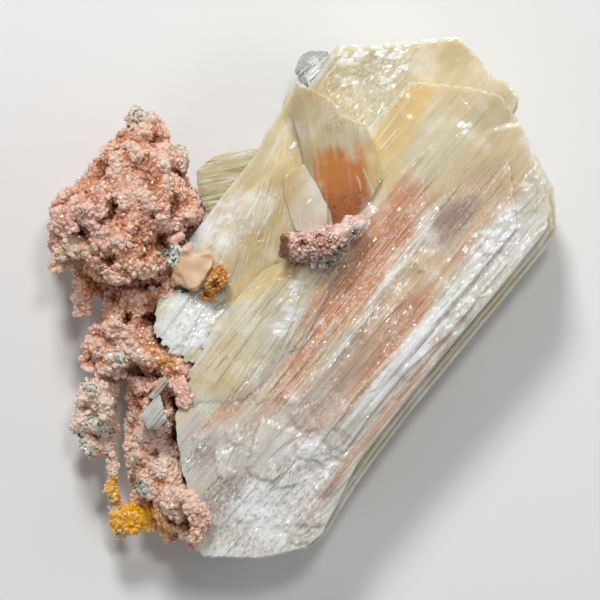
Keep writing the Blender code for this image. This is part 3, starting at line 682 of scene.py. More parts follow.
def makeStilbite():
    material, tree, shader = newMaterial("stilbite")
    lath = addNode(tree, "ShaderNodeUVMap", {"uv_map": "lath"}).outputs[0]
    longHair = useGroup(tree, streakGroup, Lath=lath, Across=5.5, Along=0.13).outputs["Lines"]
    shortHair = useGroup(tree, streakGroup, Lath=lath, Across=3.4, Along=1.1).outputs["Lines"]
    vein = useGroup(tree, streakGroup, Lath=lath, Across=1.5, Along=0.07).outputs["Lines"]
    specks = useGroup(tree, speckGroup, Size=0.55)
    dots = useGroup(tree, speckGroup, Size=0.30).outputs["Speck"]
    cloud = specks.outputs["Cloud"]
    fibre, glintsAndLines, edge, mottle = (attributeValue(tree, name) for name in ("fibre", "glintsAndLines", "edge", "mottle"))
    shorter = mathNode(tree, "SUBTRACT", shortHair, longHair)
    hair = mathNode(tree, "ADD", longHair, mathNode(tree, "MULTIPLY", mottle, shorter))
    busy = mathNode(tree, "MAXIMUM", fibre, mottle)
    paint = stilbiteColours
    streaky = remap(tree, vein, 0.35, 0.65, 0.75, 1.25)
    colour = mixColour(tree, attributeValue(tree, "grey"), paint["cream"], paint["grey"])
    for zone in ("olive", "amber", "blush", "rust", "deepRust", "mauve", "shellShade"):
        factor = remap(tree, mathNode(tree, "MULTIPLY", attributeValue(tree, zone), streaky), 0.0, 1.0)
        colour = mixColour(tree, factor, colour, paint[zone])
    whiteHair = mathNode(tree, "MULTIPLY", remap(tree, hair, 0.54, 0.66),
                         remap(tree, busy, 0.0, 1.0, 0.22, 1.0))
    whiteVein = mathNode(tree, "MULTIPLY", remap(tree, vein, 0.56, 0.66),
                         remap(tree, fibre, 0.0, 1.0, 0.05, 0.75))
    # painted sparkle: small white dots on the busy parts stand in for tiny glints; the clouds beside them are
    # the crystal's own
    sparkleDots = mathNode(tree, "MULTIPLY", remap(tree, dots, 0.60, 0.68),
                         remap(tree, busy, 0.0, 1.0, 0.05, 1.2))
    cloudAndSparkle = mathNode(tree, "ADD", remap(tree, cloud, 0.50, 0.72, 0.0, 0.5), sparkleDots)
    whiteLines = mathNode(tree, "MAXIMUM", whiteHair, whiteVein)
    # the white mix: the crystal's own white fibres, milky clouds and white zones, plus painted sparkle,
    # painted glints and painted edge glow
    whiteAndHighlight = mathNode(tree, "MAXIMUM", whiteLines, mathNode(tree, "MAXIMUM", cloudAndSparkle, glintsAndLines))
    whiteAndHighlight = mathNode(tree, "ADD", whiteAndHighlight, mathNode(tree, "MULTIPLY", attributeValue(tree, "whiteAndHighlight"), 0.9))
    # painted glow along the blade edges
    whiteAndHighlight = mathNode(tree, "ADD", whiteAndHighlight, mathNode(tree, "MULTIPLY", edge, 0.7))
    colour = mixColour(tree, remap(tree, whiteAndHighlight, 0.10, 1.1), colour, paint["whiteAndHighlight"])
    darkVein = mathNode(tree, "MULTIPLY", remap(tree, vein, 0.46, 0.34),
                        remap(tree, fibre, 0.0, 1.0, 0.04, 0.22))
    darkHair = mathNode(tree, "MULTIPLY", remap(tree, hair, 0.47, 0.36),
                        remap(tree, busy, 0.0, 1.0, 0.05, 0.34))
    darkDots = mathNode(tree, "MULTIPLY", remap(tree, dots, 0.46, 0.36, 0.0, 0.5),
                        attributeValue(tree, "deepRust"))
    dark = mathNode(tree, "ADD", mathNode(tree, "ADD", darkVein, darkHair), darkDots)
    shade = mathNode(tree, "SUBTRACT", remap(tree, cloud, 0.3, 0.7, 0.92, 1.05), dark)
    dimmed = addNode(tree, "ShaderNodeCombineColor", None, i0=shade, i1=shade, i2=shade).outputs[0]
    colour = mixColour(tree, 1.0, colour, dimmed, "MULTIPLY")
    tree.links.new(colour, shader.inputs["Base Color"])
    tree.links.new(remap(tree, attributeValue(tree, "gloss"), 0.2, 0.8, 0.36, 0.14),
                   shader.inputs["Roughness"])
    tilt = remap(tree, busy, 0.0, 1.0, 0.05, 0.40)
    flakes = useGroup(tree, flakeGroup, Lath=lath, Cells=2.2, Tilt=tilt)
    bump = addNode(tree, "ShaderNodeBump", None, Strength=0.7, Distance=0.00008, Height=hair,
                   Normal=flakes.outputs["Normal"])
    tree.links.new(bump.outputs[0], shader.inputs["Normal"])
    tree.links.new(flakes.outputs["Normal"], shader.inputs["Coat Normal"])
    setInputs(shader, IOR=1.5, Subsurface_Weight=0.85, Subsurface_Radius=(1.0, 0.70, 0.42),
              Subsurface_Scale=2.0 * mm, Coat_Weight=0.5, Coat_Roughness=0.08)
    return material


# The sheaf

broadLaths = (2.8, 30.0, 0.16, 0.04)      # width, length, step in height, tilt
middleLaths = (1.1, 17.0, 0.10, 0.10)
fineLaths = (0.38, 9.0, 0.045, 0.16)
mainOutline = [(16.8, 25.7), (27.9, 23.5), (30.1, 19.3), (32.8, 14.5), (33.3, 8.6), (31.2, 5.6),
               (26.3, -0.3), (18.1, -9.9), (12.7, -16.8), (8.0, -23.1), (3.3, -30.7), (1.0, -32.4),
               (-5.0, -33.7), (-12.4, -33.5), (-13.6, -32.2), (-13.1, -26.3), (-14.4, -17.2),
               (-9.2, -4.2), (3.8, 12.7)]
upperOutline = [(4.0, 31.4), (4.9, 32.6), (11.9, 32.8), (20.6, 33.7), (23.3, 31.0), (25.0, 28.7),
                (26.7, 28.0), (28.4, 25.9), (28.3, 24.2), (22.0, 15.3), (7.7, -0.3), (-4.0, 2.3),
                (-5.0, 16.6), (-0.1, 25.7)]
allLaths = [broadLaths, middleLaths, fineLaths]

# A blade has an outline, a low back and a high face, each with its tilt (under, slope). The wall draws in
# by flare, pitch and row are the steps of its grid, and laths are the layers of its relief. Its lines meet
# at the focus or run at the angle, jag and notch rag its ends, rim bevels its edge, and glow is painted
# light: how strongly its face is whitened near the edge, as if lit through the thin rim. Fine blades also
# carry flakes and sheet edges. A facet is a spot, the way it falls, and how steeply.
mainBlades = {
    "back": {"outline": [(17.5, 22.5), (26.0, 21.0), (29.8, 13.5), (30.3, 9.0), (24.0, 0.5), (15.8, -9.0),
                         (6.0, -22.5), (0.6, -29.4), (-4.5, -31.0), (-10.6, -30.6), (-11.0, -24.5),
                         (-11.6, -17.5), (-6.5, -5.0), (5.0, 12.0)],
             "low": 0.0, "high": 5.0, "flare": 0.6, "pitch": 0.5, "row": 0.6, "laths": [middleLaths]},
    "wide": {"outline": mainOutline, "low": 3.9, "high": 9.3, "flare": 1.0, "under": (0.0, -0.012),
             "slope": (0.004, 0.010), "pitch": 0.4, "row": 0.5, "laths": [middleLaths]},
    "third": {"outline": offsetOutline(mainOutline, -0.75), "low": 8.3, "high": 12.0, "slope": (0.006, 0.012),
              "pitch": 0.4, "row": 0.5, "laths": [middleLaths]},
    "second": {"outline": offsetOutline(mainOutline, -1.5), "low": 11.2, "high": 14.2,
               "slope": (0.002, 0.016),
               "pitch": 0.25, "row": 0.4, "laths": [middleLaths, fineLaths]},
    "face": {"outline": [(14.2, 27.6), (22.0, 26.7), (25.5, 25.8), (27.5, 23.3), (29.6, 17.9), (31.9, 12.0),
                         (31.5, 8.8), (24.6, 0.2), (16.2, -9.7), (7.7, -20.6), (2.9, -30.1), (0.7, -31.9),
                         (-5.0, -33.2), (-12.0, -33.0), (-13.4, -31.4), (-13.6, -27.0), (-15.1, -21.4),
                         (-15.9, -15.0),
                         (-11.1, -6.2), (3.8, 14.0), (8.6, 21.4)],
             "low": 13.1, "high": 15.8, "slope": (0.012, 0.024), "laths": allLaths, "pitch": 0.145,
             "row": 0.21,
             "fine": True, "dome": (1.0, -13.0, 15.0, 6.0, 1.3),
             "facets": [((13.9, 20.6), (-0.795, 0.607), 0.34)]},
    "plateau": {"outline": [(18.1, 18.9), (22.0, 20.0), (25.9, 19.6), (26.7, 17.5), (27.8, 9.0), (24.1, 4.6),
                            (16.8, -4.2), (10.3, -11.4), (5.8, -14.0), (5.1, -10.7), (12.3, -0.3),
                            (16.2, 10.1)],
                "low": 14.8, "high": 16.75, "slope": (0.006, 0.018), "laths": allLaths, "pitch": 0.145,
                "row": 0.21, "fine": True,
                "facets": [((21.5, 13.0), (-0.93, 0.37), 0.13), ((15.0, 0.0), (-0.77, 0.64), 0.2)]},
}
upperBlades = {
    "behind": {"outline": upperOutline, "low": 2.6, "high": 8.0, "flare": 1.2, "slope": (0.010, 0.014),
               "under": (0.0, 0.030), "pitch": 0.4, "row": 0.5, "laths": [middleLaths]},
    "step": {"outline": offsetOutline(upperOutline, -0.3), "low": 7.1, "high": 11.5, "slope": (0.018, 0.020),
             "pitch": 0.25, "row": 0.4, "laths": [middleLaths, fineLaths]},
    "front": {"outline": offsetOutline(upperOutline, -0.55),
              "low": 10.2, "high": 13.1, "slope": (0.012, 0.034), "laths": allLaths, "pitch": 0.14,
              "row": 0.24,
              "fine": True, "facets": [((3.4, 24.0), (-0.812, 0.584), 0.6)]},
}
amberBlades = {
    "amber": {"outline": [(-0.3, 27.1), (4.1, 24.9), (5.3, 23.1), (8.3, 21.8), (9.6, 19.3), (10.6, 15.3),
                          (9.3, 12.7), (6.4, 9.4), (3.2, 8.8), (0.6, 16.6), (0.3, 19.2), (-1.4, 24.5)],
              "low": 13.3, "high": 19.6, "flare": 0.4, "slope": (-0.17, 0.33), "under": (-0.06, 0.20),
              "ledge": 0.1,
              "focus": (-3.0, 70.0), "laths": [(3.2, 30.0, 0.20, 0.05), (0.9, 9.0, 0.08, 0.10)],
              "pitch": 0.13, "row": 0.2, "jag": 0.12, "rough": 0.3, "glow": 0.12,
              "facets": [((7.4, 21.4), (0.943, 0.333), 0.5), ((1.9, 18.5), (-0.98, -0.20), 0.9)]},
}
fanFocus = (3.0, 40.0)
leftBlades = {
    "leftFan": {"outline": [(-1.1, 26.8), (-2.1, 23.9), (-4.4, 20.7), (-5.0, 18.9), (-11.0, 11.4),
                            (-14.1, 7.2),
                            (-13.6, 4.6), (-11.1, -1.6), (-7.6, -2.2), (-1.9, 2.4), (4.6, 7.4), (4.0, 11.1),
                            (2.2, 16.0), (1.4, 24.0)],
                "low": 4.4, "high": 16.4, "flare": 1.4, "slope": (0.07, 0.06), "under": (0.0, 0.06),
                "focus": fanFocus, "laths": allLaths, "row": 0.2, "fine": True,
                "dome": (-1.0, 11.0, 9.0, 4.5, 1.0), "facets": [((-10.6, 6.3), (-0.8, 0.6), 0.7)]},
    "greyLath": {"outline": [(-1.0, 16.4), (0.7, 16.9), (2.6, 13.8), (3.6, 11.6), (3.6, 8.6), (0.9, 7.6),
                             (-0.6, 8.6),
                             (-1.8, 12.4), (-2.1, 14.9)],
                 "low": 13.0, "high": 18.3, "flare": 0.3, "slope": (0.05, 0.06), "focus": (-1.0, 60.0),
                 "laths": [(1.2, 6.0, 0.12, 0.1)], "pitch": 0.13, "row": 0.2, "jag": 0.3, "rough": 0.3,
                 "glow": 0.2,
                 "facets": [((-1.0, 12.5), (-0.97, -0.2), 0.5)]},
}
middleBlades = {
    "middleFan": {"outline": [(-2.9, 5.4), (5.2, 4.4), (3.2, -0.5), (1.6, -3.9), (-3.6, -11.0),
                              (-10.6, -15.4),
                              (-14.2, -14.0), (-14.6, -11.0), (-11.1, -3.4)],
                  "low": 11.3, "high": 16.3, "slope": (0.02, 0.06), "focus": (26.0, 38.0), "laths": allLaths,
                  "row": 0.2, "fine": True, "dome": (-5.0, -2.0, 9.0, 3.0, 0.8), "deepest": 3.0, "glow": 0.05,
                  "rim": 0.04, "jag": 1.4, "notch": 0.3,
                  "facets": [((-8.8, -10.8), (-0.64, -0.77), 0.09), ((-2.0, -4.0), (0.85, -0.5), 0.14),
                             ((-4.6, 0.5), (-0.73, 0.68), 0.4)]},
    "whiteFlank": {"outline": [(-18.7, -2.7), (-17.9, -0.3), (-15.7, 1.2), (-9.2, 1.6), (-8.2, -4.6),
                               (-12.6, -9.4), (-16.7, -7.1), (-18.5, -5.5)],
                   "low": 3.2, "high": 14.8, "flare": 0.9, "slope": (0.06, 0.02),
                   "laths": [(1.8, 4.0, 0.4, 0.2), (0.7, 2.2, 0.15, 0.2)], "rough": 1.0, "fine": True,
                   "jag": 0.9, "notch": 0.7, "row": 0.25},
}
print("blades planned")

sheaf = {
    "main": list(mainBlades.values()),
    "upper": list(upperBlades.values()),
    "amber": list(amberBlades.values()),
    "left": list(leftBlades.values()),
    "middle": list(middleBlades.values()),
}

# Where the colours lie: x, y, half length along the axis, half width, strength, turn from the axis in degrees
colourZones = {
    "grey": [(-3.0, -24.0, 18.0, 10.0, 1.0, 0), (14.0, -10.0, 16.0, 4.0, 0.9, 0),
             (24.0, 3.0, 9.0, 4.0, 0.6, 0),
             (29.5, 14.0, 8.0, 2.6, 0.6, 10), (-11.8, -19.4, 6.0, 4.6, 1.0, 0),
             (0.8, 12.2, 4.4, 1.9, 0.9, 42)],
    "olive": [(-4.0, 11.4, 8.0, 3.6, 1.0, 8), (3.2, 27.4, 3.4, 2.2, 0.8, 0), (24.4, 23.6, 4.0, 3.0, 0.5, 0),
              (19.5, 31.0, 6.0, 2.0, 0.35, -30), (1.5, 23.4, 4.0, 3.0, 0.4, 0),
              (6.6, 28.6, 3.4, 2.4, 0.5, 0)],
    "amber": [(12.3, 21.8, 6.8, 2.3, 1.0, 2), (10.0, 14.5, 5.0, 2.4, 0.6, 0), (20.0, 29.5, 9.0, 5.0, 0.3, 0),
              (-3.5, 13.0, 12.0, 5.0, 0.45, 0), (-4.4, 2.6, 6.5, 1.7, 0.8, -22),
              (23.0, 15.0, 8.0, 4.0, 0.35, 0),
              (1.5, 21.0, 7.0, 5.0, 0.3, 0), (9.2, 15.6, 5.0, 1.2, 0.95, 62), (-3.0, 24.0, 5.0, 1.2, 0.5, 0),
              (-9.4, -9.6, 6.0, 3.6, 0.45, -8)],
    "blush": [(6.4, 1.6, 14.0, 3.6, 1.0, 3), (12.6, 10.4, 5.5, 2.8, 0.9, 0), (12.0, -5.0, 13.0, 1.6, 0.9, 3),
              (9.8, -5.2, 13.0, 3.4, 0.5, 3), (24.0, 14.0, 6.0, 4.0, 0.25, 0),
              (27.0, -3.5, 14.0, 1.2, 0.25, 0),
              (-8.5, -13.9, 5.0, 1.2, 0.55, -12), (21.0, 10.5, 4.0, 3.0, 0.35, 0),
              (0.0, -8.0, 8.0, 2.6, 0.7, 3),
              (10.0, -16.0, 14.0, 0.7, 0.5, 2), (2.4, 8.6, 2.0, 1.6, 0.3, 40)],
    "mauve": [(19.3, 9.8, 4.6, 1.8, 0.75, 0), (5.0, -8.6, 9.0, 1.4, 0.35, 4), (20.5, -6.0, 14.0, 1.0, 0.3, 0),
              (24.0, 14.5, 4.0, 2.8, 0.25, 0), (10.5, -5.0, 9.0, 1.6, 0.25, 0),
              (-10.6, -26.0, 4.5, 1.7, 0.45, 0), (6.4, -9.4, 6.0, 1.0, 0.6, 3),
              (-11.2, -19.6, 2.4, 1.3, 0.4, 0)],
    # White zones: white patches of the crystal, plus two painted glints on the left fan, a long bright facet
    # and a reflective strip at its edge
    "whiteAndHighlight": [(-15.0, -2.8, 5.0, 3.6, 1.2, 0), (0.8, 12.0, 4.6, 2.0, 0.25, 42),
              (-12.0, 10.0, 3.2, 0.5, 1.3, 4), (-3.5, -27.6, 7.0, 3.6, 0.6, 0),
              (26.5, 7.0, 6.0, 3.0, 0.6, 0), (13.8, -6.8, 11.5, 1.1, 0.9, 0), (-12.4, 8.4, 3.0, 1.2, 0.8, 0),
              (-9.0, -33.0, 9.0, 2.0, 0.5, -50), (-1.6, -3.0, 4.0, 1.4, 0.6, 0),
              (1.0, -19.4, 3.4, 1.5, 1.2, 0), (-5.4, -25.6, 3.2, 2.2, 1.1, 0),
              (-9.2, -19.2, 1.6, 0.8, 0.4, 0), (-2.6, -30.2, 1.6, 0.9, 1.0, 0),
              (12.0, 3.2, 7.0, 0.5, 0.7, 3), (7.5, -3.4, 7.0, 0.4, 0.6, 2), (-8.0, 9.8, 6.0, 2.6, 0.6, 0),
              (12.9, -9.4, 12.0, 0.8, 0.8, 2), (23.0, 3.5, 3.0, 2.0, 0.4, 0)],
}


def dressSheaf(obj, withPhantom):
    # every piece reads the same zones, so that colour runs on from piece to piece
    mesh = obj.data
    points = vertexPoints(mesh)
    flat = points[:, :2]
    front = smoothStep(11.0, 14.5, points[:, 2])
    for number, (zone, spots) in enumerate(colourZones.items()):
        values = zoneMask(points, spots, 310 + 7 * number, 1.0, 0.0 if zone == "amber" else 0.1)
        storeValues(mesh, zone, values * front if zone in ("blush", "mauve") else values)
    storeValues(mesh, "rust", withPhantom * front * phantom(points, 18.9, 2.6))
    storeValues(mesh, "deepRust", withPhantom * front * phantom(points, 14.6, 4.6))
    across, along = flat @ acrossAxis, flat @ growthAxis
    busy = 1 - zoneMask(points, calmZones, 46)
    storeValues(mesh, "fibre", zoneMask(points, roughZones, 40) * busy)
    storeValues(mesh, "mottle", zoneMask(points, mottleZones, 45) * busy)
    # painted glints: the chosen flake cells in the flake zones are painted white, and so are the bright lines
    glint = zoneMask(points, flakeZones, 50, 0.6) * (flakeCells(flat)[1] > 0)
    storeValues(mesh, "glintsAndLines",
                np.maximum(glint, 0.8 * threadMask(flat)) * smoothStep(9.5, 12.0, points[:, 2]))
    # painted shade: brownish darkening just under each shell's edge
    storeValues(mesh, "shellShade", shadeUnderShells(flat, shells, 61, 0.35) * smoothStep(12.0, 14.0, points[:, 2]))
    gloss = 0.55 * softNoise(400, across / 0.8, along / 5) + 0.45 * softNoise(401, across / 2.5, along / 9)
    storeValues(mesh, "gloss", gloss)


stilbite = makeStilbite()
pieceNames = {"main": "mainBlades", "upper": "upperBlades", "amber": "amberBlade", "left": "leftFan",
              "middle": "middleFan"}
startIndex = 0
for part, blades in sheaf.items():
    solids = [bladeSolid(blade, startIndex + number) for number, blade in enumerate(blades)]
    startIndex += len(blades)
    piece = fuse(pieceNames[part], solids)
    dressSheaf(piece, part == "amber")
    piece.data.materials.clear()
    piece.data.materials.append(stilbite)
    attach(piece, "root")
    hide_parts("stilbite_sheaf")
    print(piece.name, "has", len(piece.data.polygons), "faces")

# Clear crystals

clearBlades = {
    "side_blade": {"outline": [(-13.3, 14.9), (-13.1, 16.3), (-11.1, 18.1), (-8.6, 18.7), (-5.0, 19.2),
                               (-3.2, 18.6), (-6.4, 12.7), (-10.4, 9.6), (-12.2, 10.9), (-12.8, 13.2)],
                   "low": 7.0, "high": 12.3, "flare": 1.0, "slope": (0.03, 0.10), "angle": 12,
                   "laths": [(1.6, 9.0, 0.35, 0.25), (0.5, 5.0, 0.12, 0.35)], "rim": 0.6, "notch": 0.8},
    "glassy_tip": {"outline": [(-0.8, 28.9), (0.2, 31.0), (1.5, 31.8), (3.6, 31.7), (5.2, 31.0), (3.3, 27.6),
                               (1.3, 26.0)],
                   "low": 5.6, "high": 10.2, "flare": 0.9, "slope": (-0.10, -0.05), "angle": 40,
                   "laths": [(1.5, 4.0, 0.3, 0.3), (0.5, 2.0, 0.12, 0.3)], "rim": 0.6},
    "small_prism": {"outline": [(-20.1, -15.0), (-17.7, -12.4), (-16.7, -15.4), (-17.9, -16.7),
                                (-19.2, -16.7)],
                    "low": 12.2, "high": 17.5, "flare": 0.3, "slope": (0.25, 0.22), "pitch": 0.1,
                    "laths": [(0.6, 6.0, 0.18, 0.35)], "rim": 0.4, "jag": 0.1},
    "thin_blade": {"outline": [(-19.2, -12.6), (-17.1, -9.9), (-16.5, -10.6), (-18.3, -13.1)],
                   "low": 11.4, "high": 16.1, "flare": 0.1, "slope": (0.10, 0.20), "pitch": 0.1,
                   "laths": [(0.4, 5.0, 0.10, 0.3)], "rim": 0.2, "jag": 0.1, "ledge": 0.06},
}
# tint, share of transmission, and how strong a growth line must be to look white
clearLooks = {"side_blade": ((0.80, 0.73, 0.46), 0.35, 0.55), "glassy_tip": ((0.68, 0.72, 0.68), 0.6, 0.56),
              "small_prism": ((0.84, 0.79, 0.72), 0.3, 0.50), "thin_blade": ((0.72, 0.56, 0.46), 0.3, 0.52)}


def makeClear(name, tint, transmission, whiteFrom):
    material, tree, shader = newMaterial(name + "Clear")
    lath = addNode(tree, "ShaderNodeUVMap", {"uv_map": "lath"}).outputs[0]
    lines = useGroup(tree, streakGroup, Lath=lath, Across=2.4, Along=0.12).outputs["Lines"]
    broad = useGroup(tree, streakGroup, Lath=lath, Across=0.9, Along=0.10).outputs["Lines"]
    # the growth lines are painted white, partly real white striations and partly painted internal
    # reflections; between them the tint is dimmed grey as painted shade
    white = mathNode(tree, "MAXIMUM", remap(tree, lines, whiteFrom, whiteFrom + 0.06),
                     remap(tree, broad, whiteFrom + 0.03, whiteFrom + 0.08))
    grey = remap(tree, lines, 0.46, 0.40, 1.0, 0.55)
    dimmed = addNode(tree, "ShaderNodeCombineColor", None, i0=grey, i1=grey, i2=grey).outputs[0]
    tint = mixColour(tree, 1.0, dimmed, tint, "MULTIPLY")
    tree.links.new(mixColour(tree, white, tint, (0.95, 0.95, 0.92)), shader.inputs["Base Color"])
    tree.links.new(remap(tree, white, 0.0, 1.0, 0.10, 0.40), shader.inputs["Roughness"])
    bump = addNode(tree, "ShaderNodeBump", None, Strength=0.7, Distance=0.00012, Height=lines)
    tree.links.new(bump.outputs[0], shader.inputs["Normal"])
    setInputs(shader, IOR=1.5, Transmission_Weight=transmission, Subsurface_Weight=0.5,
              Subsurface_Radius=(1.0, 0.95, 0.8), Subsurface_Scale=2.0 * mm)
    return material


for node, blade in clearBlades.items():
    piece = bladeSolid(blade, startIndex)
    startIndex += 1
    piece.name = piece.data.name = node + "Clear"
    piece.data.materials.append(makeClear(node, *clearLooks[node]))
    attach(piece, "root")
    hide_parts(node)
print("clear crystals built")


# Druse and matrix

grainPoints = np.array([(0, 0, 1), (0.894, 0, 0.447), (0.276, 0.851, 0.447), (-0.724, 0.526, 0.447),
                        (-0.724, -0.526, 0.447), (0.276, -0.851, 0.447), (0.724, 0.526, -0.447),
                        (-0.276, 0.851, -0.447), (-0.894, 0, -0.447), (-0.276, -0.851, -0.447),
                        (0.724, -0.526, -0.447), (0, 0, -1)])
grainFaces = np.array([(0, 1, 2), (0, 2, 3), (0, 3, 4), (0, 4, 5), (0, 5, 1), (1, 6, 2), (2, 7, 3), (3, 8, 4),
                       (4, 9, 5), (5, 10, 1), (2, 6, 7), (3, 7, 8), (4, 8, 9), (5, 9, 10), (1, 10, 6),
                       (6, 11, 7), (7, 11, 8), (8, 11, 9), (9, 11, 10), (10, 11, 6)])


def twig(line, radius, seed):
    # balls along a line, of slightly uneven size
    balls = []
    for p, q in zip(line[:-1], line[1:]):
        count = max(1, round(math.dist(p, q) / (0.8 * radius)))
        for step in range(count + 1):
            uneven = 0.8 + 0.35 * float(cellNumber(seed, step, len(balls)))
            balls.append((*(a + (b - a) * step / count for a, b in zip(p, q)), radius * uneven))
    return balls


# voxel is the pitch of the mesh, lump the height of its lumps, cell the spacing of the grains and grain
# their smallest and largest radius. deep is the relief that counts as fully exposed, rounds how widely it
# is averaged, and hidden how much painted shade darkens the skin between the grains. Balls add thin twigs
# and lobes, pits are hollows (x, y, radius, depth), and bare spots carry no grains.
usualRounds, usualHidden = 45, 1.05
druses = {
    "matrix_crown": {"slot": "matrix", "voxel": 0.42, "lump": 1.1, "cell": 0.52, "grain": (0.20, 0.54),
                     "deep": 0.36,
                     "pits": [(-23.4, 11.6, 0.8, 3.5), (-23.7, 10.2, 0.8, 3.0), (-24.8, 9.6, 0.8, 1.8),
                              (-21.6, 20.6, 0.9, 2.0),
                              (-22.9, 20.2, 0.6, 1.5), (-15.7, 15.7, 0.8, 2.2), (-15.3, 14.4, 0.6, 1.8),
                              (-23.7, 4.6, 0.8, 2.0),
                              (-21.9, 18.7, 0.5, 1.2), (-17.2, 7.6, 1.0, 2.5), (-18.6, 10.4, 0.6, 1.2),
                              (-27.6, 8.0, 0.5, 1.0),
                              (-19.7, 5.2, 0.6, 1.6), (-26.9, 12.9, 0.5, 1.0), (-14.2, 9.3, 0.8, 2.0)]},
    "matrix_neck": {"slot": "matrix", "voxel": 0.42, "lump": 0.8, "cell": 0.50, "grain": (0.20, 0.54),
                    "deep": 0.42,
                    "balls": twig([(-27.0, -6.0, 8.5), (-27.6, -8.6, 8.5), (-26.6, -9.2, 9.0)], 0.9, 71)
                    + twig([(-17.2, -7.0, 12.6), (-15.8, -7.6, 13.6), (-14.6, -9.0, 13.9)], 1.3, 72)
                    + twig([(-18.0, -8.4, 11.0), (-15.8, -9.6, 12.2), (-14.2, -10.6, 13.0)], 1.5, 82)
                    + twig([(-19.6, 0.2, 12.0), (-17.6, 0.5, 12.8), (-16.4, 1.0, 13.2)], 1.2, 83),
                    "pits": [(-22.0, -2.7, 0.8, 3.0), (-20.9, -9.4, 1.4, 3.0), (-18.6, -9.2, 0.8, 2.0),
                             (-25.0, -4.6, 0.6, 1.4),
                             (-17.6, -4.2, 0.6, 1.4)]},
    "matrix_left_arm": {"slot": "matrix", "voxel": 0.36, "lump": 0.6, "cell": 0.46, "grain": (0.20, 0.50),
                        "deep": 0.36,
                        "balls": twig([(-27.2, -11.5, 9.0), (-25.2, -11.4, 9.6), (-23.9, -11.6, 9.0)],
                                      1.0, 73),
                        "pits": [(-27.4, -14.0, 0.6, 1.4), (-26.2, -17.8, 0.5, 1.2)]},
    "matrix_body": {"slot": "matrix", "voxel": 0.38, "lump": 0.7, "cell": 0.48, "grain": (0.20, 0.54),
                    "deep": 0.38,
                    "balls": twig([(-21.7, -10.9, 9.0), (-21.5, -12.6, 9.2), (-21.0, -14.6, 9.0)], 0.75, 74)
                    + twig([(-21.6, -14.6, 7.8), (-21.9, -18.0, 7.6), (-21.4, -23.4, 7.0)], 0.85, 75)
                    + twig([(-17.4, -11.3, 12.2), (-15.8, -11.3, 13.8), (-14.4, -11.4, 14.6),
                            (-14.6, -13.2, 14.8)], 1.15, 76)
                    + twig([(-20.4, -25.4, 7.0), (-21.6, -27.6, 7.0), (-24.0, -29.2, 6.5)], 1.1, 77)
                    + twig([(-22.6, -28.8, 6.8), (-23.0, -30.8, 6.6)], 0.95, 78)
                    + twig([(-24.0, -25.6, 6.4), (-23.6, -27.4, 6.4), (-22.4, -28.6, 6.6)], 0.85, 84)
                    + twig([(-21.4, -28.2, 7.0), (-19.0, -29.4, 7.4)], 0.8, 79),
                    "pits": [(-20.0, -12.6, 0.6, 2.4), (-21.2, -23.9, 0.9, 2.0), (-18.9, -26.2, 0.6, 1.8),
                             (-14.6, -24.2, 0.7, 2.0),
                             (-18.4, -20.2, 0.8, 1.6), (-16.0, -28.4, 0.6, 1.4), (-16.2, -15.6, 0.7, 1.4)]},
    "druse_knob": {"slot": "drusy_knob", "voxel": 0.24, "lump": 0.45, "cell": 0.40, "grain": (0.20, 0.38),
                   "deep": 0.25,
                   "rounds": 14, "hidden": 1.3, "balls": twig([(2.6, 4.9, 19.0), (4.6, 5.4, 19.3)], 1.4, 80),
                   "pits": [(0.6, 6.6, 0.6, 0.8), (2.6, 7.6, 0.5, 0.7)],
                   "bare": [(-2.0, 7.4, 1.1), (-2.1, 5.7, 1.2), (5.2, 8.8, 1.1), (7.8, 9.3, 0.8)]},
    "ochre_druse": {"slot": "ochre_druse", "voxel": 0.24, "lump": 0.45, "cell": 0.40, "grain": (0.18, 0.34),
                    "deep": 0.25,
                    "rounds": 10, "pits": [(-10.6, 1.8, 0.5, 0.8), (-11.8, 0.4, 0.5, 0.7)]},
}


def neighbourMean(points, edges):
    # every point moved to the mean of the points that share an edge with it
    total = np.zeros_like(points)
    for axis in range(3):
        total[:, axis] += np.bincount(edges[:, 0], points[edges[:, 1], axis], len(points))
        total[:, axis] += np.bincount(edges[:, 1], points[edges[:, 0], axis], len(points))
    return total / np.maximum(np.bincount(edges.ravel(), minlength=len(points)), 1)[:, None]


def refinedCopy(node, voxel, balls=()):
    # a finely and evenly meshed copy of a CAD node with balls grown on, its flat facets rounded off
    obj = bpy.data.objects.new(node + "Fine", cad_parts[node].data.copy())
    bpy.context.scene.collection.objects.link(obj)
    mendMesh(obj, 0.002)
    bm = bmesh.new()
    bm.from_mesh(obj.data)
    for x, y, z, radius in balls:
        place = Matrix.Translation((np.array([x, y, z]) + shift) * mm)
        bmesh.ops.create_icosphere(bm, subdivisions=2, radius=radius * mm, matrix=place)
    bm.to_mesh(obj.data)
    bm.free()
    remesh = obj.modifiers.new("remesh", "REMESH")
    remesh.mode = "VOXEL"
    remesh.voxel_size = voxel * mm
    applyModifiers(obj)
    mesh = obj.data
    mesh.materials.clear()
    points = vertexPoints(mesh)
    edges = np.empty(len(mesh.edges) * 2, np.int64)
    mesh.edges.foreach_get("vertices", edges)
    edges = edges.reshape(-1, 2)
    for _ in range(3):
        points = neighbourMean(points, edges)
    return obj, points, edges


def setPoints(mesh, points):
    mesh.vertices.foreach_set("co", ((points + shift) * mm).astype(np.float32).ravel())
    mesh.update()


def normalsOf(mesh):
    normals = np.empty(len(mesh.vertices) * 3, np.float32)
    mesh.vertices.foreach_get("normal", normals)
    return normals.reshape(-1, 3).astype(float)


def roughen(obj, points, lump, seed):
    # rounded lumps with sharp creases between them: noise folded about its middle, in two sizes
    setPoints(obj.data, points)
    normals = normalsOf(obj.data)
    big = np.abs(2 * softNoise(seed, *(points / 1.9).T) - 1)
    small = np.abs(2 * softNoise(seed + 1, *(points / 0.8).T) - 1)
    move = lump * (np.sqrt(big) - 0.6) + 0.5 * lump * (small - 0.35)
    points = points + normals * (move * smoothStep(0.0, 1.2, points[:, 2]))[:, None]
    points[:, 2] = np.maximum(points[:, 2], 0)
    setPoints(obj.data, points)
    return points


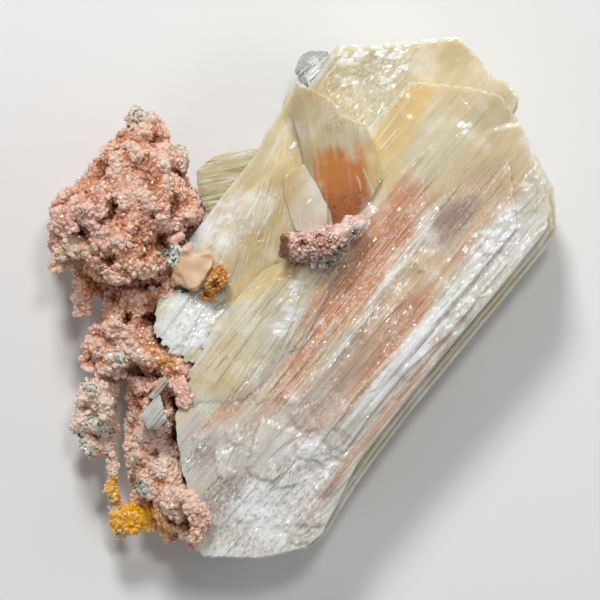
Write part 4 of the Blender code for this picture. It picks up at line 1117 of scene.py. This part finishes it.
def grainsOver(obj, look, seed):
    # one grain for each small cell that the surface crosses, at a random point of the surface there
    triesPerCell, cellSpan, steepestUnder, clearOfFloor = 5, 4096, -0.85, 0.5
    mesh = obj.data
    mesh.calc_loop_triangles()
    corners = np.empty(len(mesh.loop_triangles) * 3, np.int64)
    mesh.loop_triangles.foreach_get("vertices", corners)
    corners = corners.reshape(-1, 3)
    points = vertexPoints(mesh)
    sides = np.cross(points[corners[:, 1]] - points[corners[:, 0]],
                     points[corners[:, 2]] - points[corners[:, 0]])
    area = np.linalg.norm(sides, axis=1) / 2
    chance = np.random.RandomState(seed)
    count = int(area.sum() / look["cell"] ** 2 * triesPerCell)
    picked = np.searchsorted(np.cumsum(area) / area.sum(), chance.uniform(size=count)).clip(0, len(area) - 1)
    weights = chance.dirichlet((1, 1, 1), count)
    places = (points[corners[picked]] * weights[..., None]).sum(1)
    cells = np.floor(places / look["cell"]).astype(np.int64)
    _, first = np.unique(cells @ np.array([1, cellSpan, cellSpan * cellSpan]), return_index=True)
    outward = sides[picked[first]] / (2 * area[picked[first]][:, None])
    keep = (places[first, 2] > clearOfFloor) & (outward[:, 2] > steepestUnder)
    for x, y, radius in look.get("bare", []):
        keep &= np.hypot(places[first, 0] - x, places[first, 1] - y) > radius
    first, outward = first[keep], outward[keep]
    return places[first], outward, picked[first], weights[first], corners, chance


def growGrains(obj, look, seed, exposure):
    places, outward, picked, weights, corners, chance = grainsOver(obj, look, seed)
    count, size = len(places), len(grainPoints)
    shown = (exposure[corners[picked]] * weights).sum(1)
    turn = chance.normal(size=(count, 4))
    turn /= np.linalg.norm(turn, axis=1)[:, None]
    w, x, y, z = turn.T
    rotation = np.stack([np.stack([1 - 2 * (y * y + z * z), 2 * (x * y - w * z), 2 * (x * z + w * y)], 1),
                         np.stack([2 * (x * y + w * z), 1 - 2 * (x * x + z * z), 2 * (y * z - w * x)], 1),
                         np.stack([2 * (x * z - w * y), 2 * (y * z + w * x), 1 - 2 * (x * x + y * y)], 1)], 1)
    smallest, largest = look["grain"]
    radius = smallest + (largest - smallest) * chance.uniform(size=count) ** 2
    uneven, squashed = chance.uniform(0.7, 1.2, (count, size, 1)), chance.uniform(0.7, 1.25, (count, 1, 3))
    shape = grainPoints[None] * uneven * squashed
    lift = chance.uniform(-0.5, 0.3, count) * radius
    local = np.einsum("nij,nkj->nki", rotation, shape) * radius[:, None, None]
    points = places[:, None] + outward[:, None] * lift[:, None, None] + local
    points[..., 2] = np.maximum(points[..., 2], 0.02)
    faces = (grainFaces[None] + size * np.arange(count)[:, None, None]).reshape(-1, 3)
    # painted light and shade: each grain's outer side counts as more exposed, so its tip is painted pale and
    # its foot darker
    reachOut = np.einsum("nkj,nj->nk", local, outward) / radius[:, None]
    return {"points": points.reshape(-1, 3), "faces": faces, "centres": np.repeat(places, size, 0),
            "exposure": np.repeat(shown, size) + 0.6 * reachOut.ravel(),
            "tone": np.repeat(chance.uniform(size=count), size)}


# Patches of other minerals on the matrix and the knob: x, y, radius, strength
patches = {
    "green": [(2.6, 4.4, 0.7, 1.0), (3.8, 4.5, 0.7, 1.0), (4.7, 5.3, 0.7, 1.0), (5.4, 6.5, 0.7, 1.0),
              (6.2, 7.6, 0.6, 1.0),
              (7.2, 8.4, 0.6, 0.9),
              (-20.4, 23.6, 1.3, 0.8), (-15.2, 19.4, 0.9, 0.6), (-14.9, 17.4, 0.8, 0.6),
              (-28.4, 5.8, 1.4, 0.45),
              (-27.2, 9.9, 0.5, 0.6), (-16.2, 5.8, 1.3, 1.0), (-22.7, -7.6, 0.9, 0.8),
              (-22.3, -9.4, 0.6, 0.8),
              (-26.8, -11.4, 0.9, 0.8), (-26.1, -15.8, 1.0, 1.0), (-25.0, -17.2, 1.0, 1.0),
              (-28.5, -18.2, 1.1, 1.0), (-27.2, -19.8, 0.9, 1.0), (-20.9, -21.6, 0.7, 0.6),
              (-20.2, -24.6, 1.0, 1.0),
              (-24.2, -27.0, 0.9, 0.5), (-23.0, -31.2, 1.1, 0.5)],
    "ochre": [(-2.3, 7.3, 1.1, 1.0), (-2.2, 5.6, 1.2, 1.0), (-0.7, 4.9, 1.0, 0.7), (-23.4, -24.6, 1.6, 0.8),
              (-22.6, -26.8, 1.5, 0.8), (-21.3, -28.4, 2.2, 1.0), (-22.4, -30.4, 2.3, 1.0),
              (-19.4, -27.8, 1.6, 0.8), (-18.0, -29.8, 1.6, 0.7), (-28.6, 4.0, 3.0, 0.15),
              (-23.6, -29.6, 1.8, 1.0), (-16.8, -7.4, 2.4, 0.3)],
    "pale": [(-20.4, 23.6, 1.8, 0.7), (-15.8, 17.0, 2.2, 0.6), (-21.5, 13.6, 3.0, 0.5),
             (-29.0, 5.6, 2.6, 0.6),
             (-25.6, 8.6, 2.0, 0.4), (-26.4, -14.6, 5.0, 1.2), (-22.4, -7.4, 2.6, 0.6),
             (-19.8, -18.0, 4.0, 0.7),
             (-23.2, -21.6, 2.0, 1.0), (-17.2, -23.6, 4.5, 0.7), (5.4, 8.9, 1.1, 0.9), (7.8, 9.3, 0.8, 0.8)],
}


def patchMask(points, centres, spots, seed):
    flat = centres[:, :2]
    total = np.zeros(len(points))
    for x, y, radius, strength in spots:
        away = np.hypot(flat[:, 0] - x, flat[:, 1] - y) / radius
        away += 0.9 * (softNoise(seed, *(centres / 0.9).T) - 0.5)
        total = np.maximum(total, strength * smoothStep(1.25, 0.75, away))
    return total * smoothStep(2.0, 6.0, centres[:, 2])


def buildDruse(node, look, number):
    obj, points, edges = refinedCopy(node, look["voxel"], look.get("balls", ()))
    points = roughen(obj, points, look["lump"], 500 + number)
    for x, y, radius, depth in look.get("pits", []):
        away = np.hypot(points[:, 0] - x, points[:, 1] - y) / radius
        away += 0.6 * (softNoise(550, *(points / 0.7).T) - 0.5)
        points[:, 2] -= depth * smoothStep(1.3, 0.6, away) * smoothStep(4.0, 7.0, points[:, 2])
    setPoints(obj.data, points)
    smooth = points
    for _ in range(look.get("rounds", usualRounds)):
        smooth = neighbourMean(smooth, edges)
    # exposure: how far the surface stands above its smoothed copy; it sets painted shade in hollows and
    # painted light on bumps
    exposure = ((points - smooth) * normalsOf(obj.data)).sum(1) / look["deep"]
    grains = growGrains(obj, look, 600 + number, exposure)
    allPoints = np.concatenate([points, grains["points"]])
    faces = cornerVertices(obj.data).reshape(-1, 4).tolist() + (grains["faces"] + len(points)).tolist()
    piece = putMesh(node + "Grains", allPoints, faces)
    bpy.data.objects.remove(obj)
    centres = np.concatenate([points, grains["centres"]])
    bare = np.zeros(len(points), bool)
    for x, y, radius in look.get("bare", []):
        bare |= np.hypot(points[:, 0] - x, points[:, 1] - y) < radius
    # painted shade: the skin between the grains is darkened, except on bare spots
    skinExposure = exposure - np.where(bare, 0.0, look.get("hidden", usualHidden))
    storeValues(piece.data, "exposure", np.concatenate([skinExposure, grains["exposure"]]))
    storeValues(piece.data, "tone", np.concatenate([np.full(len(points), 0.3), grains["tone"]]))
    for offset, (name, spots) in enumerate(patches.items()):
        storeValues(piece.data, name, patchMask(allPoints, centres, spots, 700 + 10 * number + offset))
    cloud = softNoise(900, *(centres / 4.5).T) * 0.65 + softNoise(901, *(centres / 1.8).T) * 0.35
    storeValues(piece.data, "pink", cloud)
    print(node, len(grains["faces"]) // len(grainFaces), "grains,", len(faces), "faces")
    return piece


# The limits are the exposures at which the tone changes: hollow, shadow, tip and top. These tones are
# painted shade and light: deep and brown in the hollows, pale on the exposed tips
druseColours = {
    "matrix": {"deep": (0.04, 0.012, 0.005), "brown": (0.32, 0.105, 0.045), "orange": (0.68, 0.31, 0.15),
               "pink": (0.73, 0.39, 0.30), "pale": (0.86, 0.60, 0.49), "white": (0.72, 0.75, 0.65),
               "green": (0.03, 0.10, 0.07), "ochre": (0.95, 0.50, 0.010), "limits": (-1.05, -0.4, 0.5, 1.8),
               "buff": (0.90, 0.76, 0.62)},
    "drusy_knob": {"deep": (0.03, 0.010, 0.005), "brown": (0.30, 0.12, 0.07), "orange": (0.66, 0.36, 0.27),
                   "pink": (0.78, 0.52, 0.45), "pale": (0.90, 0.72, 0.65), "white": (0.36, 0.38, 0.33),
                   "green": (0.012, 0.035, 0.025), "ochre": (0.20, 0.085, 0.035),
                   "limits": (-1.1, -0.6, 0.3, 1.1),
                   "buff": (0.90, 0.80, 0.76)},
    "ochre_druse": {"deep": (0.06, 0.02, 0.005), "brown": (0.30, 0.09, 0.015), "orange": (0.62, 0.25, 0.05),
                    "pink": (0.70, 0.33, 0.09), "pale": (0.82, 0.52, 0.22), "white": (0.8, 0.7, 0.5),
                    "green": (0.5, 0.2, 0.05), "ochre": (0.7, 0.3, 0.05), "limits": (-0.9, -0.2, 0.5, 1.6),
                    "buff": (0.7, 0.5, 0.3)},
}


def makeDruse(name, paint):
    # painted shade and light: tone by how far each grain stands out, from dark hollows to pale tips
    material, tree, shader = newMaterial(name + "Druse")
    specks = useGroup(tree, speckGroup, Size=0.35)
    mottle = remap(tree, specks.outputs["Speck"], 0.3, 0.7, -0.3, 0.3)
    tone = attributeValue(tree, "tone")
    lift = mathNode(tree, "MULTIPLY", attributeValue(tree, "pale"), 0.9)
    exposure = mathNode(tree, "ADD", mathNode(tree, "ADD", attributeValue(tree, "exposure"), mottle), lift)
    hollow, shadow, tip, top = paint["limits"]
    pinker = mathNode(tree, "ADD", attributeValue(tree, "pink"), remap(tree, tone, 0.0, 1.0, -0.15, 0.15))
    middle = mixColour(tree, remap(tree, pinker, 0.35, 0.65), paint["orange"], paint["pink"])
    colour = mixColour(tree, remap(tree, exposure, hollow - 0.5, hollow), paint["deep"], paint["brown"])
    colour = mixColour(tree, remap(tree, exposure, hollow, shadow), colour, middle)
    paler = mathNode(tree, "ADD", exposure, remap(tree, tone, 0.0, 1.0, -0.7, 0.7))
    colour = mixColour(tree, remap(tree, paler, tip, top), colour, paint["pale"])
    buffShare = mathNode(tree, "MULTIPLY", attributeValue(tree, "pale"),
                         remap(tree, exposure, shadow, tip, 0.1, 0.5))
    colour = mixColour(tree, buffShare, colour, paint["buff"])
    ochre = mixColour(tree, remap(tree, exposure, hollow - 0.5, shadow - 0.4), paint["brown"], paint["ochre"])
    ochre = mixColour(tree, remap(tree, paler, tip, top, 0.0, 0.25), ochre, paint["pale"])
    colour = mixColour(tree, attributeValue(tree, "ochre"), colour, ochre)
    greenTone = mathNode(tree, "ADD", specks.outputs["Speck"], remap(tree, tone, 0.0, 1.0, -0.12, 0.12))
    greenGrain = mixColour(tree, remap(tree, greenTone, 0.50, 0.58), paint["white"], paint["green"])
    greenShare = mathNode(tree, "MULTIPLY", attributeValue(tree, "green"),
                          remap(tree, tone, 0.25, 0.35, 0.3, 1.0))
    colour = mixColour(tree, greenShare, colour, greenGrain)
    tree.links.new(colour, shader.inputs["Base Color"])
    tree.links.new(remap(tree, specks.outputs["Speck"], 0.35, 0.65, 0.36, 0.12), shader.inputs["Roughness"])
    setInputs(shader, IOR=1.5, Subsurface_Weight=0.12, Subsurface_Radius=(1.0, 0.4, 0.25),
              Subsurface_Scale=0.5 * mm)
    return material


druseMaterials = {slot: makeDruse(slot, paint) for slot, paint in druseColours.items()}
for number, (node, look) in enumerate(druses.items()):
    piece = buildDruse(node, look, number)
    piece.data.materials.append(druseMaterials[look["slot"]])
    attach(piece, "root")
    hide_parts(node)


# The smooth pale scale

def makeScale():
    material, tree, shader = newMaterial("paleScale")
    specks = useGroup(tree, speckGroup, Size=0.8)
    skin = mixColour(tree, remap(tree, specks.outputs["Cloud"], 0.4, 0.6), (0.74, 0.50, 0.30),
                     (0.80, 0.68, 0.52))
    skin = mixColour(tree, attributeValue(tree, "pink"), skin, (0.78, 0.50, 0.42))
    dots = useGroup(tree, speckGroup, Size=0.35).outputs["Speck"]
    green = mixColour(tree, remap(tree, dots, 0.48, 0.56), (0.80, 0.82, 0.74), (0.04, 0.12, 0.08))
    skin = mixColour(tree, attributeValue(tree, "green"), skin, green)
    rust = mathNode(tree, "ADD", attributeValue(tree, "edge"),
                    remap(tree, specks.outputs["Speck"], 0.3, 0.7, -0.4, 0.4))
    tree.links.new(mixColour(tree, remap(tree, rust, 0.5, 0.9), skin, (0.46, 0.18, 0.06)),
                   shader.inputs["Base Color"])
    setInputs(shader, Roughness=0.4, IOR=1.5, Subsurface_Weight=0.5, Subsurface_Radius=(1.0, 0.6, 0.4),
              Subsurface_Scale=1.2 * mm)
    return material


scaleLobes = [(-16.2, 7.4, 16.9, 0.85), (-14.9, 7.9, 17.0, 0.8), (-13.7, 6.7, 16.9, 0.65),
              (-15.8, 6.0, 16.9, 0.9),
              (-14.4, 5.9, 17.2, 0.9), (-16.4, 4.6, 16.6, 0.8), (-11.6, 5.4, 16.6, 0.8),
              (-15.8, 2.0, 16.0, 0.7)]
piece, points, edges = refinedCopy("pale_scale", 0.2, scaleLobes)
for _ in range(10):
    points = neighbourMean(points, edges)
points = roughen(piece, points, 0.4, 590)
lowland = 17.15 + 0.5 * softNoise(595, points[:, 0] / 1.6, points[:, 1] / 1.6) - 0.06 * (points[:, 1] - 3)
sunk = smoothStep(6.0, 5.0, points[:, 1])
points[:, 2] += sunk * (np.minimum(points[:, 2], lowland) - points[:, 2])
setPoints(piece.data, points)
piece.name = piece.data.name = "paleScaleSkin"
signed, fade = lineField(points[:, :2],
                         [(-16.8, 3.4), (-15.9, 1.7), (-14.3, 0.8), (-12.4, 0.5), (-10.6, 1.2)])
storeValues(piece.data, "edge", fade * np.exp(-(signed / 0.55) ** 2))
storeValues(piece.data, "pink", smoothStep(4.8, 6.2, points[:, 1] - 0.2 * points[:, 0] - 3.0))
storeValues(piece.data, "green",
            patchMask(points, points, [(-16.6, 5.6, 1.5, 1.0), (-15.4, 6.0, 0.8, 0.8)], 597))
piece.data.shade_smooth()
piece.data.materials.append(makeScale())
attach(piece, "root")
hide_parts("pale_scale")
print("druse and scale built")

# Floor, light and camera

stage = {"floorSize": 1.4, "floorColour": (0.85, 0.85, 0.84), "faceLevel": 10.0, "pixel": 0.1284,
         "frame": 600,
         "lens": 250.0, "sensor": 36.0, "centre": (0.13, -0.30)}


def makeStage():
    half = stage["floorSize"] / 2
    mesh = bpy.data.meshes.new("floor")
    mesh.from_pydata([(-half, -half, 0), (half, -half, 0), (half, half, 0), (-half, half, 0)], [],
                     [(0, 1, 2, 3)])
    floor = bpy.data.objects.new("floor", mesh)
    bpy.context.scene.collection.objects.link(floor)
    material, _, shader = newMaterial("floorPaint")
    setInputs(shader, Base_Color=(*stage["floorColour"], 1), Roughness=0.85)
    mesh.materials.append(material)


def areaLight(name, place, target, size, power, colour=(1, 1, 1)):
    light = bpy.data.lights.new(name, "AREA")
    light.size = size
    light.energy = power
    light.color = colour
    obj = bpy.data.objects.new(name, light)
    obj.location = place
    obj.rotation_euler = (Vector(target) - Vector(place)).to_track_quat("-Z", "Y").to_euler()
    bpy.context.scene.collection.objects.link(obj)


makeStage()
target = (0, 0, 0.012)
areaLight("keySoftbox", (-0.06, 0.34, 0.36), target, 0.10, 1.45)
areaLight("fillSoftbox", (-0.34, -0.20, 0.26), target, 0.30, 0.22, (0.96, 0.98, 1.0))
areaLight("rimSoftbox", (0.34, 0.05, 0.22), target, 0.20, 0.22, (1.0, 0.98, 0.95))
glintDistance = 0.6
glintOut = glintDistance * math.sin(glintTilt)
glintPlace = (glintOut * glintWay[0], glintOut * glintWay[1], glintDistance * math.cos(glintTilt) + target[2])
areaLight("glintSoftbox", glintPlace, target, 0.08, 0.8)
world = bpy.data.worlds.new("studio")
world.use_nodes = True
world.node_tree.nodes["Background"].inputs["Color"].default_value = (0.86, 0.88, 0.90, 1)
world.node_tree.nodes["Background"].inputs["Strength"].default_value = 0.18
bpy.context.scene.world = world

camera = bpy.data.cameras.new("camera")
camera.lens = stage["lens"]
camera.sensor_width = stage["sensor"]
cameraObject = bpy.data.objects.new("camera", camera)
reach = stage["pixel"] * stage["frame"] * stage["lens"] / stage["sensor"]
cameraObject.location = ((stage["centre"][0] + shift[0]) * mm, (stage["centre"][1] + shift[1]) * mm,
                         (stage["faceLevel"] + reach) * mm)
bpy.context.scene.collection.objects.link(cameraObject)
bpy.context.scene.camera = cameraObject
bpy.context.scene.view_settings.view_transform = "Standard"
